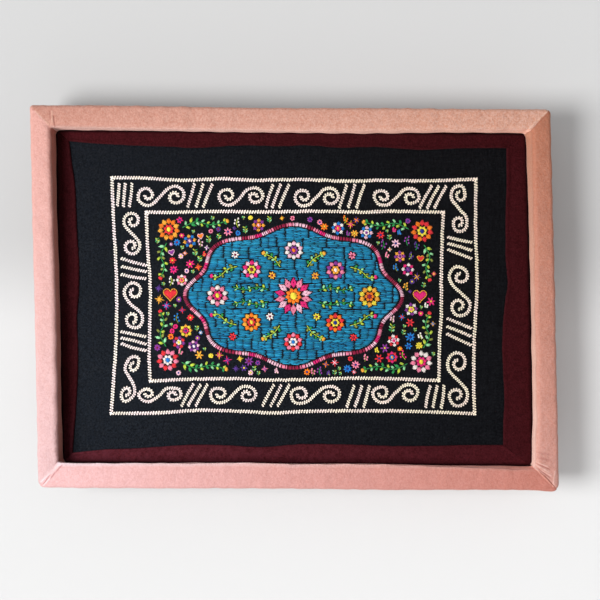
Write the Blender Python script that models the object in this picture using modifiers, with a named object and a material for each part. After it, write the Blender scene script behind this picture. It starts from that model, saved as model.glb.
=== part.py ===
"""Embroidered wall hanging in a velvet-covered frame.

Metres, +X to the right, +Z up, the front faces -Y and the wall stands at y = 0. The origin is in the middle
of the top rail's flat back, where the hanging meets the wall.

The frame was put together a little out of square: its top and bottom rails are level and its side rails lean.
So everything is first laid out square, from the frame's centre, and then racked by SET_IN_PLACE.
"""

from collections import namedtuple
from math import radians, sqrt

import bmesh
import bpy
from mathutils import Matrix, Vector

# The frame, outside
FRAME_WIDTH = 0.520
FRAME_HEIGHT = 0.382
FRAME_DEPTH = 0.028
CORNER_RADIUS = 0.006
# Sideways step of the side rails for each metre down, towards +X
LEAN = 0.0294

# The rails, covered in velvet
UPRIGHT_RAIL_WIDTH = 0.0195
LEVEL_RAIL_WIDTH = 0.0212
EDGE_RADIUS = 0.0035
EDGE_STEPS = 3
REBATE_WIDTH = 0.006
REBATE_DEPTH = 0.006

# The cloth, held in the rebate
STRIP_THICKNESS = 0.0015
GROUND_THICKNESS = 0.0015
EDGE_CLEARANCE = 0.0005
POINTS_PER_STRIP = 36

# Between pieces that touch
GAP = 0.0003
# How far a cutter runs past what it cuts
PAST = 0.010

OUTER_HALF = Vector((FRAME_WIDTH / 2, FRAME_HEIGHT / 2))
RAIL_WIDTHS = Vector((UPRIGHT_RAIL_WIDTH, LEVEL_RAIL_WIDTH))
OPENING_HALF = OUTER_HALF - RAIL_WIDTHS
REBATE_HALF = OPENING_HALF + Vector((REBATE_WIDTH, REBATE_WIDTH))
CLOTH_HALF = REBATE_HALF - Vector((EDGE_CLEARANCE, EDGE_CLEARANCE))
STRIP_FRONT = GAP - REBATE_DEPTH
GROUND_FRONT = STRIP_FRONT + STRIP_THICKNESS + GAP

# The top rail's flat back lies between its rounded edge and the rebate
FLAT_MIDDLE = (EDGE_RADIUS + LEVEL_RAIL_WIDTH - REBATE_WIDTH) / 2
ORIGIN_HEIGHT = FRAME_HEIGHT / 2 - FLAT_MIDDLE
RACKING = Matrix(((1, 0, -LEAN, 0), (0, 1, 0, 0), (0, 0, 1, 0), (0, 0, 0, 1)))
SET_IN_PLACE = RACKING @ Matrix.Translation((0, 0, -ORIGIN_HEIGHT))

# How much of each maroon strip shows inside the rail, from its left or bottom end (0) to the other (1).
# The folded edges were turned by eye, so they wander.
Station = namedtuple("Station", "along width")
STRIP_STATIONS = {
    "top": (
        Station(0.00, 0.0107),
        Station(0.06, 0.0128),
        Station(0.14, 0.0144),
        Station(0.24, 0.0158),
        Station(0.29, 0.0167),
        Station(0.34, 0.0151),
        Station(0.39, 0.0138),
        Station(0.49, 0.0142),
        Station(0.545, 0.0132),
        Station(0.62, 0.0154),
        Station(0.70, 0.0144),
        Station(0.80, 0.0170),
        Station(0.90, 0.0151),
        Station(1.00, 0.0147),
    ),
    "bottom": (
        Station(0.00, 0.0098),
        Station(0.08, 0.0134),
        Station(0.13, 0.0142),
        Station(0.21, 0.0167),
        Station(0.28, 0.0187),
        Station(0.36, 0.0183),
        Station(0.44, 0.0168),
        Station(0.53, 0.0200),
        Station(0.65, 0.0199),
        Station(0.74, 0.0188),
        Station(0.84, 0.0193),
        Station(0.92, 0.0203),
        Station(1.00, 0.0206),
    ),
    "left": (
        Station(0.00, 0.0095),
        Station(0.07, 0.0115),
        Station(0.14, 0.0139),
        Station(0.25, 0.0164),
        Station(0.34, 0.0174),
        Station(0.43, 0.0170),
        Station(0.52, 0.0196),
        Station(0.61, 0.0202),
        Station(0.70, 0.0193),
        Station(0.79, 0.0186),
        Station(0.865, 0.0179),
        Station(0.93, 0.0153),
        Station(1.00, 0.0132),
    ),
    "right": (
        Station(0.00, 0.0300),
        Station(0.08, 0.0292),
        Station(0.15, 0.0277),
        Station(0.25, 0.0283),
        Station(0.33, 0.0286),
        Station(0.41, 0.0272),
        Station(0.49, 0.0243),
        Station(0.545, 0.0215),
        Station(0.62, 0.0230),
        Station(0.71, 0.0226),
        Station(0.80, 0.0218),
        Station(0.87, 0.0205),
        Station(0.95, 0.0201),
        Station(1.00, 0.0198),
    ),
}


def new_collection(name):
    collection = bpy.data.collections.new(name)
    bpy.context.scene.collection.children.link(collection)
    return collection


def new_material(name, color, roughness, sheen):
    material = bpy.data.materials.new(name)
    material.use_nodes = True
    shader = material.node_tree.nodes["Principled BSDF"]
    shader.inputs["Base Color"].default_value = (*color, 1)
    shader.inputs["Roughness"].default_value = roughness
    shader.inputs["Metallic"].default_value = 0
    shader.inputs["Sheen Weight"].default_value = sheen
    return material


def add_object(name, mesh, collection):
    made = bpy.data.objects.new(name, mesh)
    collection.objects.link(made)
    return made


def mark_as_cutter(made):
    made.hide_render = True
    made.display_type = "WIRE"


def block_mesh(name, half, front, back, corner_radius=0.0):
    """A block laid out square, its four corners rounded as seen from the front, then set in place."""
    size = Matrix.Diagonal((2 * half.x, back - front, 2 * half.y, 1))
    middle = Matrix.Translation((0, (front + back) / 2, 0))
    shape = bmesh.new()
    bmesh.ops.create_cube(shape, size=1, matrix=middle @ size)
    if corner_radius:
        upright = [e for e in shape.edges if abs(e.verts[0].co.y - e.verts[1].co.y) > 0.5 * (back - front)]
        bmesh.ops.bevel(
            shape, geom=upright, offset=corner_radius, segments=4, profile=0.5, affect="EDGES"
        )
    bmesh.ops.transform(shape, matrix=SET_IN_PLACE, verts=shape.verts)
    mesh = bpy.data.meshes.new(name)
    shape.to_mesh(mesh)
    shape.free()
    return mesh


def sheet_mesh(name, outline, front, back):
    """A flat outline, laid out square, given its thickness from front to back, then set in place."""
    curve = bpy.data.curves.new(name, "CURVE")
    curve.dimensions = "2D"
    curve.fill_mode = "BOTH"
    curve.extrude = (back - front) / 2
    spline = curve.splines.new("POLY")
    spline.points.add(len(outline) - 1)
    for point, place in zip(spline.points, outline):
        point.co = (place[0], place[1], 0, 1)
    spline.use_cyclic_u = True
    guide = add_object(name + "_outline", curve, bpy.context.scene.collection)
    graph = bpy.context.evaluated_depsgraph_get()
    mesh = bpy.data.meshes.new_from_object(guide.evaluated_get(graph))
    bpy.data.objects.remove(guide)
    shape = bmesh.new()
    shape.from_mesh(mesh)
    bmesh.ops.remove_doubles(shape, verts=shape.verts, dist=0.00001)
    upright = Matrix.Translation((0, (front + back) / 2, 0)) @ Matrix.Rotation(radians(90), 4, "X")
    bmesh.ops.transform(shape, matrix=SET_IN_PLACE @ upright, verts=shape.verts)
    bmesh.ops.recalc_face_normals(shape, faces=shape.faces)
    shape.to_mesh(mesh)
    shape.free()
    return mesh


def add_boolean(made, operation, cutter):
    modifier = made.modifiers.new(cutter.name, "BOOLEAN")
    modifier.operation = operation
    modifier.solver = "EXACT"
    modifier.object = cutter


def corner_names(side, end):
    """The upright and the level rail that meet at one end (-1 or 1) of a side."""
    if side in ("top", "bottom"):
        return ("left" if end < 0 else "right"), side
    return side, ("bottom" if end < 0 else "top")


def corner(side, end, half):
    """The corner of a centred rectangle with these half sizes, at one end of a side."""
    upright, level = corner_names(side, end)
    return Vector((half.x if upright == "right" else -half.x, half.y if level == "top" else -half.y))


def run_of(side):
    """The direction in which a side runs, from its left or bottom end."""
    return Vector((1, 0)) if side in ("top", "bottom") else Vector((0, 1))


def inward(side):
    """The direction from a rail towards the middle of the cloth."""
    sign = -1 if side in ("top", "right") else 1
    return sign * (Vector((0, 1)) if side in ("top", "bottom") else Vector((1, 0)))


def smooth_width(stations, along):
    """The width between two stations, on a Hermite curve that passes through every station."""
    last = len(stations) - 1
    left = min(max(i for i in range(len(stations)) if stations[i].along <= along), last - 1)

    def slope(i):
        before, after = stations[max(i - 1, 0)], stations[min(i + 1, last)]
        return (after.width - before.width) / (after.along - before.along)

    start, end = stations[left], stations[left + 1]
    span = end.along - start.along
    t = (along - start.along) / span
    return (
        (2 * t**3 - 3 * t**2 + 1) * start.width
        + (t**3 - 2 * t**2 + t) * span * slope(left)
        + (3 * t**2 - 2 * t**3) * end.width
        + (t**3 - t**2) * span * slope(left + 1)
    )


def folded_corner(side, end):
    """Where two strips' folded edges meet, each end width measured from its own rail."""
    upright, level = corner_names(side, end)
    upright_width = STRIP_STATIONS[upright][-1 if level == "top" else 0].width
    level_width = STRIP_STATIONS[level][-1 if upright == "right" else 0].width
    return corner(side, end, OPENING_HALF - Vector((upright_width, level_width)))


def strip_outline(side):
    """The strip's outer edge in the rebate, its two mitred ends, and its wandering folded edge."""
    run, towards_middle = run_of(side), inward(side)
    near, far = folded_corner(side, -1), folded_corner(side, 1)
    rail_edge = corner(side, -1, OPENING_HALF).dot(towards_middle)
    folded = []
    for i in range(POINTS_PER_STRIP + 1):
        along = i / POINTS_PER_STRIP
        width = smooth_width(STRIP_STATIONS[side], along)
        folded.append(run * near.lerp(far, along).dot(run) + towards_middle * (rail_edge + width))
    outer = [corner(side, -1, CLOTH_HALF), corner(side, 1, CLOTH_HALF)]
    # Each mitred end stands back by half the gap, measured square to the mitre
    for end, index in ((1, 0), (-1, -1)):
        mitre = folded[index] - outer[index]
        back = run * (end * GAP / 2 * mitre.length / abs(mitre.dot(towards_middle)))
        outer[index] += back
        folded[index] += back
    return outer + folded[::-1]


def rail_wedge_outline(side):
    """Everything between the two mitres of one rail, less half the gap at each."""
    back = run_of(side) * (GAP / sqrt(2))
    outside = OUTER_HALF + RAIL_WIDTHS / 2
    inside = OPENING_HALF - RAIL_WIDTHS / 2
    return [
        corner(side, -1, outside) + back,
        corner(side, 1, outside) - back,
        corner(side, 1, inside) - back,
        corner(side, -1, inside) + back,
    ]


def make_rails(parts, cutters, material):
    """The whole moulding is rounded and rebated as one ring, then cut at its mitres into four rails."""
    opening = add_object("opening", block_mesh("opening", OPENING_HALF, -FRAME_DEPTH - PAST, PAST), cutters)
    rebate = add_object("rebate", block_mesh("rebate", REBATE_HALF, -REBATE_DEPTH, PAST), cutters)
    ring = block_mesh("moulding", OUTER_HALF, -FRAME_DEPTH, 0, CORNER_RADIUS)
    ring.materials.append(material)
    for side in STRIP_STATIONS:
        wedge_mesh = sheet_mesh("wedge_" + side, rail_wedge_outline(side), -FRAME_DEPTH - PAST, PAST)
        wedge = add_object("wedge_" + side, wedge_mesh, cutters)
        rail = add_object("rail_" + side, ring.copy(), parts)
        add_boolean(rail, "DIFFERENCE", opening)
        rounding = rail.modifiers.new("soft edges", "BEVEL")
        rounding.width = EDGE_RADIUS
        rounding.segments = EDGE_STEPS
        rounding.limit_method = "ANGLE"
        rounding.angle_limit = radians(40)
        add_boolean(rail, "DIFFERENCE", rebate)
        add_boolean(rail, "INTERSECT", wedge)
        rail.data.shade_smooth()
    bpy.data.meshes.remove(ring)
    for cutter in cutters.objects:
        mark_as_cutter(cutter)


def make_strips(parts, material):
    for side in STRIP_STATIONS:
        mesh = sheet_mesh("strip_" + side, strip_outline(side), STRIP_FRONT, STRIP_FRONT + STRIP_THICKNESS)
        mesh.materials.append(material)
        add_object("strip_" + side, mesh, parts)


def make_ground_cloth(parts, material):
    mesh = block_mesh("ground_cloth", CLOTH_HALF, GROUND_FRONT, GROUND_FRONT + GROUND_THICKNESS)
    mesh.materials.append(material)
    add_object("ground_cloth", mesh, parts)


def main():
    for old in list(bpy.data.objects):
        bpy.data.objects.remove(old)
    parts = new_collection("embroidered_wall_hanging")
    cutters = new_collection("cutters")
    cutters.hide_render = True
    make_rails(parts, cutters, new_material("rose_velvet", (0.78, 0.42, 0.34), 0.85, 0.6))
    make_strips(parts, new_material("maroon_velvet", (0.055, 0.008, 0.012), 0.9, 0.4))
    make_ground_cloth(parts, new_material("black_wool", (0.010, 0.011, 0.014), 0.95, 0.1))


main()
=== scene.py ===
# %% [markdown]
# # An embroidered wall hanging
# The hanging is a piece of black wool cloth, embroidered in chain stitch, straight stitch and satin stitch.
# Folded maroon strips edge the cloth, and a padded frame covered in dusty-rose velvet holds it.
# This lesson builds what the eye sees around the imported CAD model, which stays as it is. The CAD solids have
# the right places and sizes, so every piece here takes its place from them. The new pieces add what the
# solids leave out: soft edges, creases, folds, and every single stitch.

import math
import random
from collections import namedtuple

import bmesh
import bpy
import numpy as np
from mathutils import Matrix, Vector


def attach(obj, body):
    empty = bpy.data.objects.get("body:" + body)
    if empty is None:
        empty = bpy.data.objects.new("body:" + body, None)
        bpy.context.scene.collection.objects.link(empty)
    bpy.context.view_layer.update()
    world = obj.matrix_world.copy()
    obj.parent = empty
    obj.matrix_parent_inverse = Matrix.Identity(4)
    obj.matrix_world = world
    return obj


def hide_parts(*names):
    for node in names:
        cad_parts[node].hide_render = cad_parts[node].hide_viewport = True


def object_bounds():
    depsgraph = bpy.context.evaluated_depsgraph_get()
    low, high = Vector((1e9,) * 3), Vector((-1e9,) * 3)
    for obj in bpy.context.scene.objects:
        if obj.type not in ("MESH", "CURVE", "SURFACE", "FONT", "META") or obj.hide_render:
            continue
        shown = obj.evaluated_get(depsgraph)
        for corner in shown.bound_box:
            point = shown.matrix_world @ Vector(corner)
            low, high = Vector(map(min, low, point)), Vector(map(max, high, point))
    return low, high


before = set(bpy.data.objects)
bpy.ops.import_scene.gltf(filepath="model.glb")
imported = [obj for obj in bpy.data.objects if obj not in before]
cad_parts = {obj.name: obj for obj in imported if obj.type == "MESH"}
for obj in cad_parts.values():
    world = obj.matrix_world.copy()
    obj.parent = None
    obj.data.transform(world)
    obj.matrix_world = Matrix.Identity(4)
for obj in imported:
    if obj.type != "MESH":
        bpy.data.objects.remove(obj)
cad_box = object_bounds()
print("CAD box, metres:", [tuple(round(c, 4) for c in corner) for corner in cad_box])

# %% [markdown]
# ## Where things are
# The hanging stands upright against the plane y = 0, and its front faces -Y. It is easiest to lay out a flat
# thing in two directions, so places on it are written (u, v): metres to the right of its middle and metres
# above it. The frame was put together a little out of square: each metre up, its side rails lean to the left.
# `on_frame` adds that lean, and `on_cloth` leaves it out, because the embroidery itself is square.

# %% Helpers for places
MM = 0.001
MIDDLE = (cad_box[0] + cad_box[1]) / 2
LEAN = 0.0294


def on_frame(u, v, y):
    """Points of the leaning frame, from places on it and heights y; all three may be arrays."""
    u, v, y = np.broadcast_arrays(u, v, y)
    return np.stack([MIDDLE.x + u - LEAN * v, y, MIDDLE.z + v], axis=-1)


def on_cloth(x, z, y):
    """Points of the embroidery, which isn't out of square, from places in millimetres and heights y."""
    x, z, y = np.broadcast_arrays(x, z, y)
    return np.stack([MIDDLE.x + x * MM, y, MIDDLE.z + z * MM], axis=-1)


print("middle of the hanging:", tuple(round(c, 4) for c in MIDDLE))

# %% [markdown]
# ## The camera
# It stands straight in front, 75 cm away, so a little of the inner wall of all four rails shows. A camera
# object looks along its own -Z, so its rotation is a matrix of three columns: right, up and back. It is
# turned by four tenths of a degree, as a camera in the hand is.

# %% Camera
CAMERA_PLACE = Vector((0.0056, -0.7508, -0.0020))
CAMERA_ROLL = math.radians(0.389)
CAMERA_LENS = 43.67

camera = bpy.data.objects.new("camera", bpy.data.cameras.new("camera"))
bpy.context.scene.collection.objects.link(camera)
camera.data.sensor_width = 36
camera.data.lens = CAMERA_LENS
right = Vector((math.cos(CAMERA_ROLL), 0, math.sin(CAMERA_ROLL)))
up = Vector((-math.sin(CAMERA_ROLL), 0, math.cos(CAMERA_ROLL)))
turned = Matrix((right, up, right.cross(up))).transposed()
camera.matrix_world = Matrix.Translation(CAMERA_PLACE + Vector((MIDDLE.x, 0, MIDDLE.z))) @ turned.to_4x4()
bpy.context.scene.camera = camera
print("camera at", tuple(round(c, 3) for c in camera.matrix_world.translation))

# %% [markdown]
# ## Helpers for nodes
# A finish is a tree of nodes, and so is a Geometry Nodes group. `add_node` makes one node of either kind: it
# takes the node's settings by name, and a dictionary of its inputs, each a plain value or a wire from another
# node. `Wire` stands for a node's output. Sums and products of wires make Math nodes, so what a tree works
# out can be written as a formula.

# %% Wires and nodes
class Wire:
    """A node's output. Arithmetic with it makes Math nodes in the same tree."""

    def __init__(self, socket):
        self.socket = socket
        self.tree = socket.id_data

    def math(self, operation, *others):
        inputs = dict(enumerate((self, *others)))
        return wire(self.tree, "ShaderNodeMath", inputs, operation=operation)

    def __add__(self, other):
        return self.math("ADD", other)

    def __sub__(self, other):
        return self.math("SUBTRACT", other)

    def __rsub__(self, other):
        return self.math("MULTIPLY_ADD", -1.0, other)

    def __mul__(self, other):
        return self.math("MULTIPLY", other)

    def __truediv__(self, other):
        return self.math("DIVIDE", other)

    def __pow__(self, other):
        return self.math("POWER", other)

    __radd__, __rmul__ = __add__, __mul__


def add_node(tree, kind, inputs=None, **settings):
    node = tree.nodes.new(kind)
    for name, value in settings.items():
        setattr(node, name, value)
    for key, value in (inputs or {}).items():
        if isinstance(value, Wire):
            tree.links.new(value.socket, node.inputs[key])
        else:
            node.inputs[key].default_value = value
    return node


def wire(tree, kind, inputs=None, output=0, **settings):
    """The output of a new node."""
    return Wire(add_node(tree, kind, inputs, **settings).outputs[output])


def attribute(tree, name, output="Fac"):
    """What a mesh carries at each point under a name: its number by default, or its colour or vector."""
    return wire(tree, "ShaderNodeAttribute", output=output, attribute_name=name)


print("sums for wires: + - * / **, and any other by its name")

# %% [markdown]
# ## Helpers for finishes
# These are the few nodes that every finish here is made of: a stretched value, noise, a mix of two colours, a
# colour in its shade, and bumps. `mix_colours` is the Mix node, which has several sockets of one name, so it
# picks them by number. `new_finish` starts a finish: it sets its shader's plain values.

# %% Colours and bumps
def vector_math(operation, first, second=None, output=0):
    inputs = {0: first} if second is None else {0: first, 1: second}
    return wire(first.tree, "ShaderNodeVectorMath", inputs, output, operation=operation)


def parts(vector):
    """The x, y and z of a vector."""
    return [Wire(output) for output in add_node(vector.tree, "ShaderNodeSeparateXYZ", {0: vector}).outputs]


def ramp(value, low, high, to_low=0.0, to_high=1.0, kind="LINEAR"):
    """A value stretched so that low becomes to_low and high becomes to_high, and held there beyond."""
    inputs = {0: value, 1: low, 2: high, 3: to_low, 4: to_high}
    return wire(value.tree, "ShaderNodeMapRange", inputs, clamp=True, interpolation_type=kind)


def noise(place, scale, detail=2.0, roughness=0.5, stretch=None):
    """Noise of 0 to 1, its grain about 1 / scale metres, drawn out along an axis where stretch says so."""
    if stretch:
        place = wire(place.tree, "ShaderNodeMapping", {"Vector": place, "Scale": stretch})
    inputs = {"Vector": place, "Scale": scale, "Detail": detail, "Roughness": roughness}
    return wire(place.tree, "ShaderNodeTexNoise", inputs)


def mix_colours(share, first, second, blend="MIX"):
    tree = next(value.tree for value in (share, first, second) if isinstance(value, Wire))
    return wire(tree, "ShaderNodeMix", {0: share, 6: first, 7: second}, 2, data_type="RGBA", blend_type=blend)


def shaded(colour, light):
    """A colour made darker or lighter by a number."""
    shades = wire(light.tree, "ShaderNodeCombineColor", {0: light, 1: light, 2: light})
    return mix_colours(1.0, colour, shades, blend="MULTIPLY")


def new_finish(name, roughness, gloss=0.1, sheen=0.0, sheen_roughness=0.5, sheen_tint=(1, 1, 1)):
    """An empty finish: the material, its shader, and where on the piece a point is, in metres."""
    material = bpy.data.materials.new(name)
    material.use_nodes = True
    shader = material.node_tree.nodes["Principled BSDF"]
    values = {
        "Roughness": roughness, "Specular IOR Level": gloss,
        "Sheen Weight": sheen, "Sheen Roughness": sheen_roughness, "Sheen Tint": (*sheen_tint, 1),
    }
    for label, value in values.items():
        shader.inputs[label].default_value = value
    return material, shader, wire(material.node_tree, "ShaderNodeTexCoord", output="Object")


def set_colour(shader, colour):
    colour.tree.links.new(colour.socket, shader.inputs["Base Color"])


def set_bump(shader, height, distance, strength):
    inputs = {"Height": height, "Distance": distance, "Strength": strength}
    height.tree.links.new(wire(height.tree, "ShaderNodeBump", inputs).socket, shader.inputs["Normal"])


# %% [markdown]
# ## The studio
# A pale wall stands three centimetres behind the hanging and takes its soft shadow, and a pale floor lies far
# below. The lamp is a large round one, low on the left and a metre away. Near a lamp a wall is much brighter
# than far from it, so the wall's own tone undoes that: it is the tone wanted at a point, divided by the light
# that falls there. The light of a small flat lamp at a point is its power over pi squared, times the cosines
# at both ends, over the square of the way. The wall's back lets everything through, so the hanging can be
# seen from behind.

# %% Stage and lights
WALL_GAP = 0.031
WALL_HALF, WALL_RISE = 1.6, 1.2
FLOOR_HALF, FLOOR_DROP = 3.0, 0.80
LAMP_PLACE = Vector((-0.60, -0.80, -0.12))
LAMP_SIZE, LAMP_WATTS = 0.50, 14.9
SKY = 0.516
WHITE = (1, 1, 1, 1)


def add_mesh_object(name, mesh, material=None):
    made = bpy.data.objects.new(name, mesh)
    bpy.context.scene.collection.objects.link(made)
    if material:
        mesh.materials.append(material)
    return made


def add_stage(name, corners, material):
    mesh = bpy.data.meshes.new(name)
    mesh.from_pydata(corners, [], [range(len(corners))])
    made = add_mesh_object(name, mesh, material)
    return made


def add_lamp(name, place, size, watts):
    """A round lamp that shines at the middle of the hanging."""
    lamp = bpy.data.lights.new(name, "AREA")
    lamp.shape = "DISK"
    lamp.size = size
    lamp.energy = watts
    made = bpy.data.objects.new(name, lamp)
    bpy.context.scene.collection.objects.link(made)
    towards = Vector((MIDDLE.x, 0, MIDDLE.z)) - place
    made.matrix_world = Matrix.Translation(place) @ towards.to_track_quat("-Z", "Y").to_matrix().to_4x4()


key_place = LAMP_PLACE + Vector((MIDDLE.x, 0, MIDDLE.z))
add_lamp("key lamp", key_place, LAMP_SIZE, LAMP_WATTS)
add_lamp("lamp behind", Vector((0.9, 1.6, 0.5)), 1.2, 14.0)

sky = bpy.data.worlds.new("studio")
sky.use_nodes = True
sky.node_tree.nodes["Background"].inputs["Color"].default_value = WHITE
sky.node_tree.nodes["Background"].inputs["Strength"].default_value = SKY
bpy.context.scene.world = sky
bpy.context.scene.view_settings.view_transform = "Standard"


def wall_finish():
    material, shader, place = new_finish("pale wall", 1.0, gloss=0.0)
    across, _, height = parts(place)
    # Light grey above, nearly white below
    tone = ramp(height, MIDDLE.z + 0.073, MIDDLE.z - 0.048, 0.708, 0.912, "SMOOTHSTEP")
    way = vector_math("SUBTRACT", place, key_place)
    reach = vector_math("LENGTH", way, output=1)
    faced = vector_math("DOT_PRODUCT", way, -LAMP_PLACE.normalized(), output=1)
    power = LAMP_WATTS / math.pi**2 * (WALL_GAP - LAMP_PLACE.y)
    light = reach**-4.0 * faced * power + SKY
    # What the formula leaves out: light that the hanging and the floor throw back
    trim = (height - MIDDLE.z) * 0.12 - (across - MIDDLE.x) * 0.08 + 1.0
    own = (tone * ramp(trim, 0.9, 1.1, 0.9, 1.1) / light).math("MINIMUM", 0.95)
    set_colour(shader, shaded(WHITE, own))
    clear = wire(place.tree, "ShaderNodeBsdfTransparent")
    behind = wire(place.tree, "ShaderNodeNewGeometry", output="Backfacing")
    mixed = wire(place.tree, "ShaderNodeMixShader", {0: behind, 1: Wire(shader.outputs[0]), 2: clear})
    place.tree.links.new(mixed.socket, place.tree.nodes["Material Output"].inputs["Surface"])
    return material


def floor_finish():
    material, shader, place = new_finish("pale floor", 0.9)
    set_colour(shader, shaded(WHITE, ramp(noise(place, 60.0, 4.0), 0.3, 0.7, 0.80, 0.84)))
    return material


floor_height = MIDDLE.z - FLOOR_DROP
wall_ends = [(-WALL_HALF, floor_height), (WALL_HALF, floor_height)]
wall_ends += [(x, MIDDLE.z + WALL_RISE) for x in (WALL_HALF, -WALL_HALF)]
wall = add_stage("studio wall", [(x, WALL_GAP, z) for x, z in wall_ends], wall_finish())
wall.visible_shadow = False
floor_ends = [(FLOOR_HALF * x, FLOOR_HALF * y) for x, y in ((-1, -1), (1, -1), (1, 1), (-1, 1))]
add_stage("studio floor", [(x, y, floor_height) for x, y in floor_ends], floor_finish())
print("wall", WALL_GAP, "m behind the hanging; floor", FLOOR_DROP, "m below its middle")


# %% [markdown]
# ## The velvet rails
# Each rail is a strip of wood with thin padding, wrapped in velvet and cut at a slant where it meets the
# next. One way to make it is a block with bevels, but cloth is never as regular as that. So each rail is one
# section, carried along the rail in many small steps, and every point of it is then moved a little: in at the
# slanted seams, up and down where the padding is uneven, and along the folds that the velvet makes at the
# corners. First comes the section: from the rebate, over the flat back, the outer wall, the front and the
# inner wall.

# %% The section of a rail
OUTER_HALF = (0.260, 0.191)
RAIL_WIDTHS = {"top": 0.0212, "bottom": 0.0212, "left": 0.0195, "right": 0.0195}
RAIL_DEPTH = 0.028
REBATE = 0.006
BACK_RADIUS, OUTER_RADIUS = 0.0035, 0.0040
INNER_RADIUS = {"top": 0.0034, "bottom": 0.0022, "left": 0.0036, "right": 0.0036}
CROWN = 0.0006


def line_points(start, end, count):
    t = np.arange(count)[:, None] / count
    return np.asarray(start) * (1 - t) + np.asarray(end) * t


def on_circle(angles):
    """Places on a circle of radius 1, at angles in radians."""
    return np.stack([np.cos(angles), np.sin(angles)], axis=1)


def arc_points(centre, radius, start, end, count):
    angles = np.radians(np.linspace(start, end, count, endpoint=False))
    return np.asarray(centre) + radius * on_circle(angles)


def rail_section(side):
    """Places round a rail: metres in from its outer face, and heights y, with the wall's side at 0."""
    width, inner, front = RAIL_WIDTHS[side], INNER_RADIUS[side], -RAIL_DEPTH
    places = np.concatenate([
        line_points((width - REBATE, 0), (BACK_RADIUS, 0), 5),
        arc_points((BACK_RADIUS, -BACK_RADIUS), BACK_RADIUS, 90, 180, 4),
        line_points((0, -BACK_RADIUS), (0, front + OUTER_RADIUS), 8),
        arc_points((OUTER_RADIUS, front + OUTER_RADIUS), OUTER_RADIUS, 180, 270, 7),
        line_points((OUTER_RADIUS, front), (width - inner, front), 22),
        arc_points((width - inner, front + inner), inner, 270, 360, 9),
        line_points((width, front + inner), (width, -REBATE), 9),
        line_points((width, -REBATE), (width - REBATE, -REBATE), 3),
        line_points((width - REBATE, -REBATE), (width - REBATE, 0), 2),
    ])
    across, height = places[:, 0], places[:, 1]
    raised = np.clip((-height - 0.6 * RAIL_DEPTH) / (0.4 * RAIL_DEPTH), 0, 1)
    height = height - CROWN * raised * np.sin(np.pi * np.clip(across / width, 0, 1))
    return across, height


print("points round a rail:", len(rail_section("top")[0]))

# %% [markdown]
# ## Folds in the velvet
# Where the cloth is folded round a corner it makes ridges and grooves. Each is written as a line from one
# place to another, in millimetres from the middle, with its width and its height; a height below zero is a
# groove. The bows say how far each rail's inner and outer edges wander towards the middle of the hanging, in
# millimetres, at points along the rail from its left or bottom end (0) to the other (1).

# %% Folds and bows
Fold = namedtuple("Fold", "start end width height")
FOLDS = [
    # top left: two tucks stand beside the seam
    Fold((-238.5, 183.0), (-238.5, 177.0), 0.6, -0.32),
    Fold((-235.0, 178.5), (-234.5, 169.5), 0.6, -0.62),
    Fold((-236.5, 183.0), (-236.5, 173.0), 0.9, 0.28),
    Fold((-252.5, 183.0), (-240.5, 171.0), 0.8, 0.26),
    # bottom left: two ridges with a painted highlight run out to the corner, with grooves beside them
    Fold((-236.5, -167.0), (-255.0, -184.0), 1.7, 0.16),
    Fold((-246.5, -176.5), (-255.5, -184.0), 0.7, 0.20),
    Fold((-240.0, -173.5), (-253.0, -187.5), 0.7, 0.14),
    Fold((-246.0, -180.0), (-253.0, -187.5), 0.6, 0.24),
    Fold((-235.0, -168.0), (-245.5, -180.0), 0.7, -0.45),
    Fold((-246.5, -177.5), (-253.0, -186.0), 0.5, -0.40),
    # bottom right: creases fan out from the inner corner
    Fold((232.5, -161.0), (249.0, -168.0), 0.6, -0.44),
    Fold((232.5, -159.5), (247.0, -165.5), 0.6, 0.36),
    Fold((233.0, -162.5), (248.0, -170.5), 0.6, 0.36),
    Fold((238.0, -167.5), (249.0, -176.0), 0.7, -0.38),
    Fold((236.0, -168.0), (252.5, -185.0), 0.6, 0.36),
    Fold((241.5, -169.5), (250.5, -174.5), 0.7, 0.28),
    Fold((253.0, -185.0), (254.5, -171.0), 0.9, 0.32),
    Fold((235.5, -151.5), (249.5, -153.5), 1.2, -0.22),
    Fold((235.5, -156.0), (250.0, -159.5), 1.2, -0.25),
    # top right: one clean seam, a little raised on one side
    Fold((255.0, 187.0), (234.5, 167.5), 0.8, 0.16),
    Fold((257.0, 185.5), (236.5, 166.5), 0.6, -0.16),
]
INNER_BOW = {
    "top": [(0, -0.3), (0.10, -0.4), (0.3, 0.3), (0.61, 1.0), (0.82, -0.5), (1, -0.6)],
    "bottom": [(0, -0.7), (0.2, -0.4), (0.4, 0.8), (0.5, 0.1), (0.6, 0.8), (0.8, -0.4), (1, -0.8)],
    "left": [(0, 1.0), (0.1, -0.3), (0.5, 0.2), (0.75, -0.4), (1, 0.2)],
    "right": [(0, 1.6), (0.1, 1.0), (0.2, -0.5), (0.5, -1.0), (0.7, -0.8), (0.9, -0.2), (1, 1.0)],
}

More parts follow.
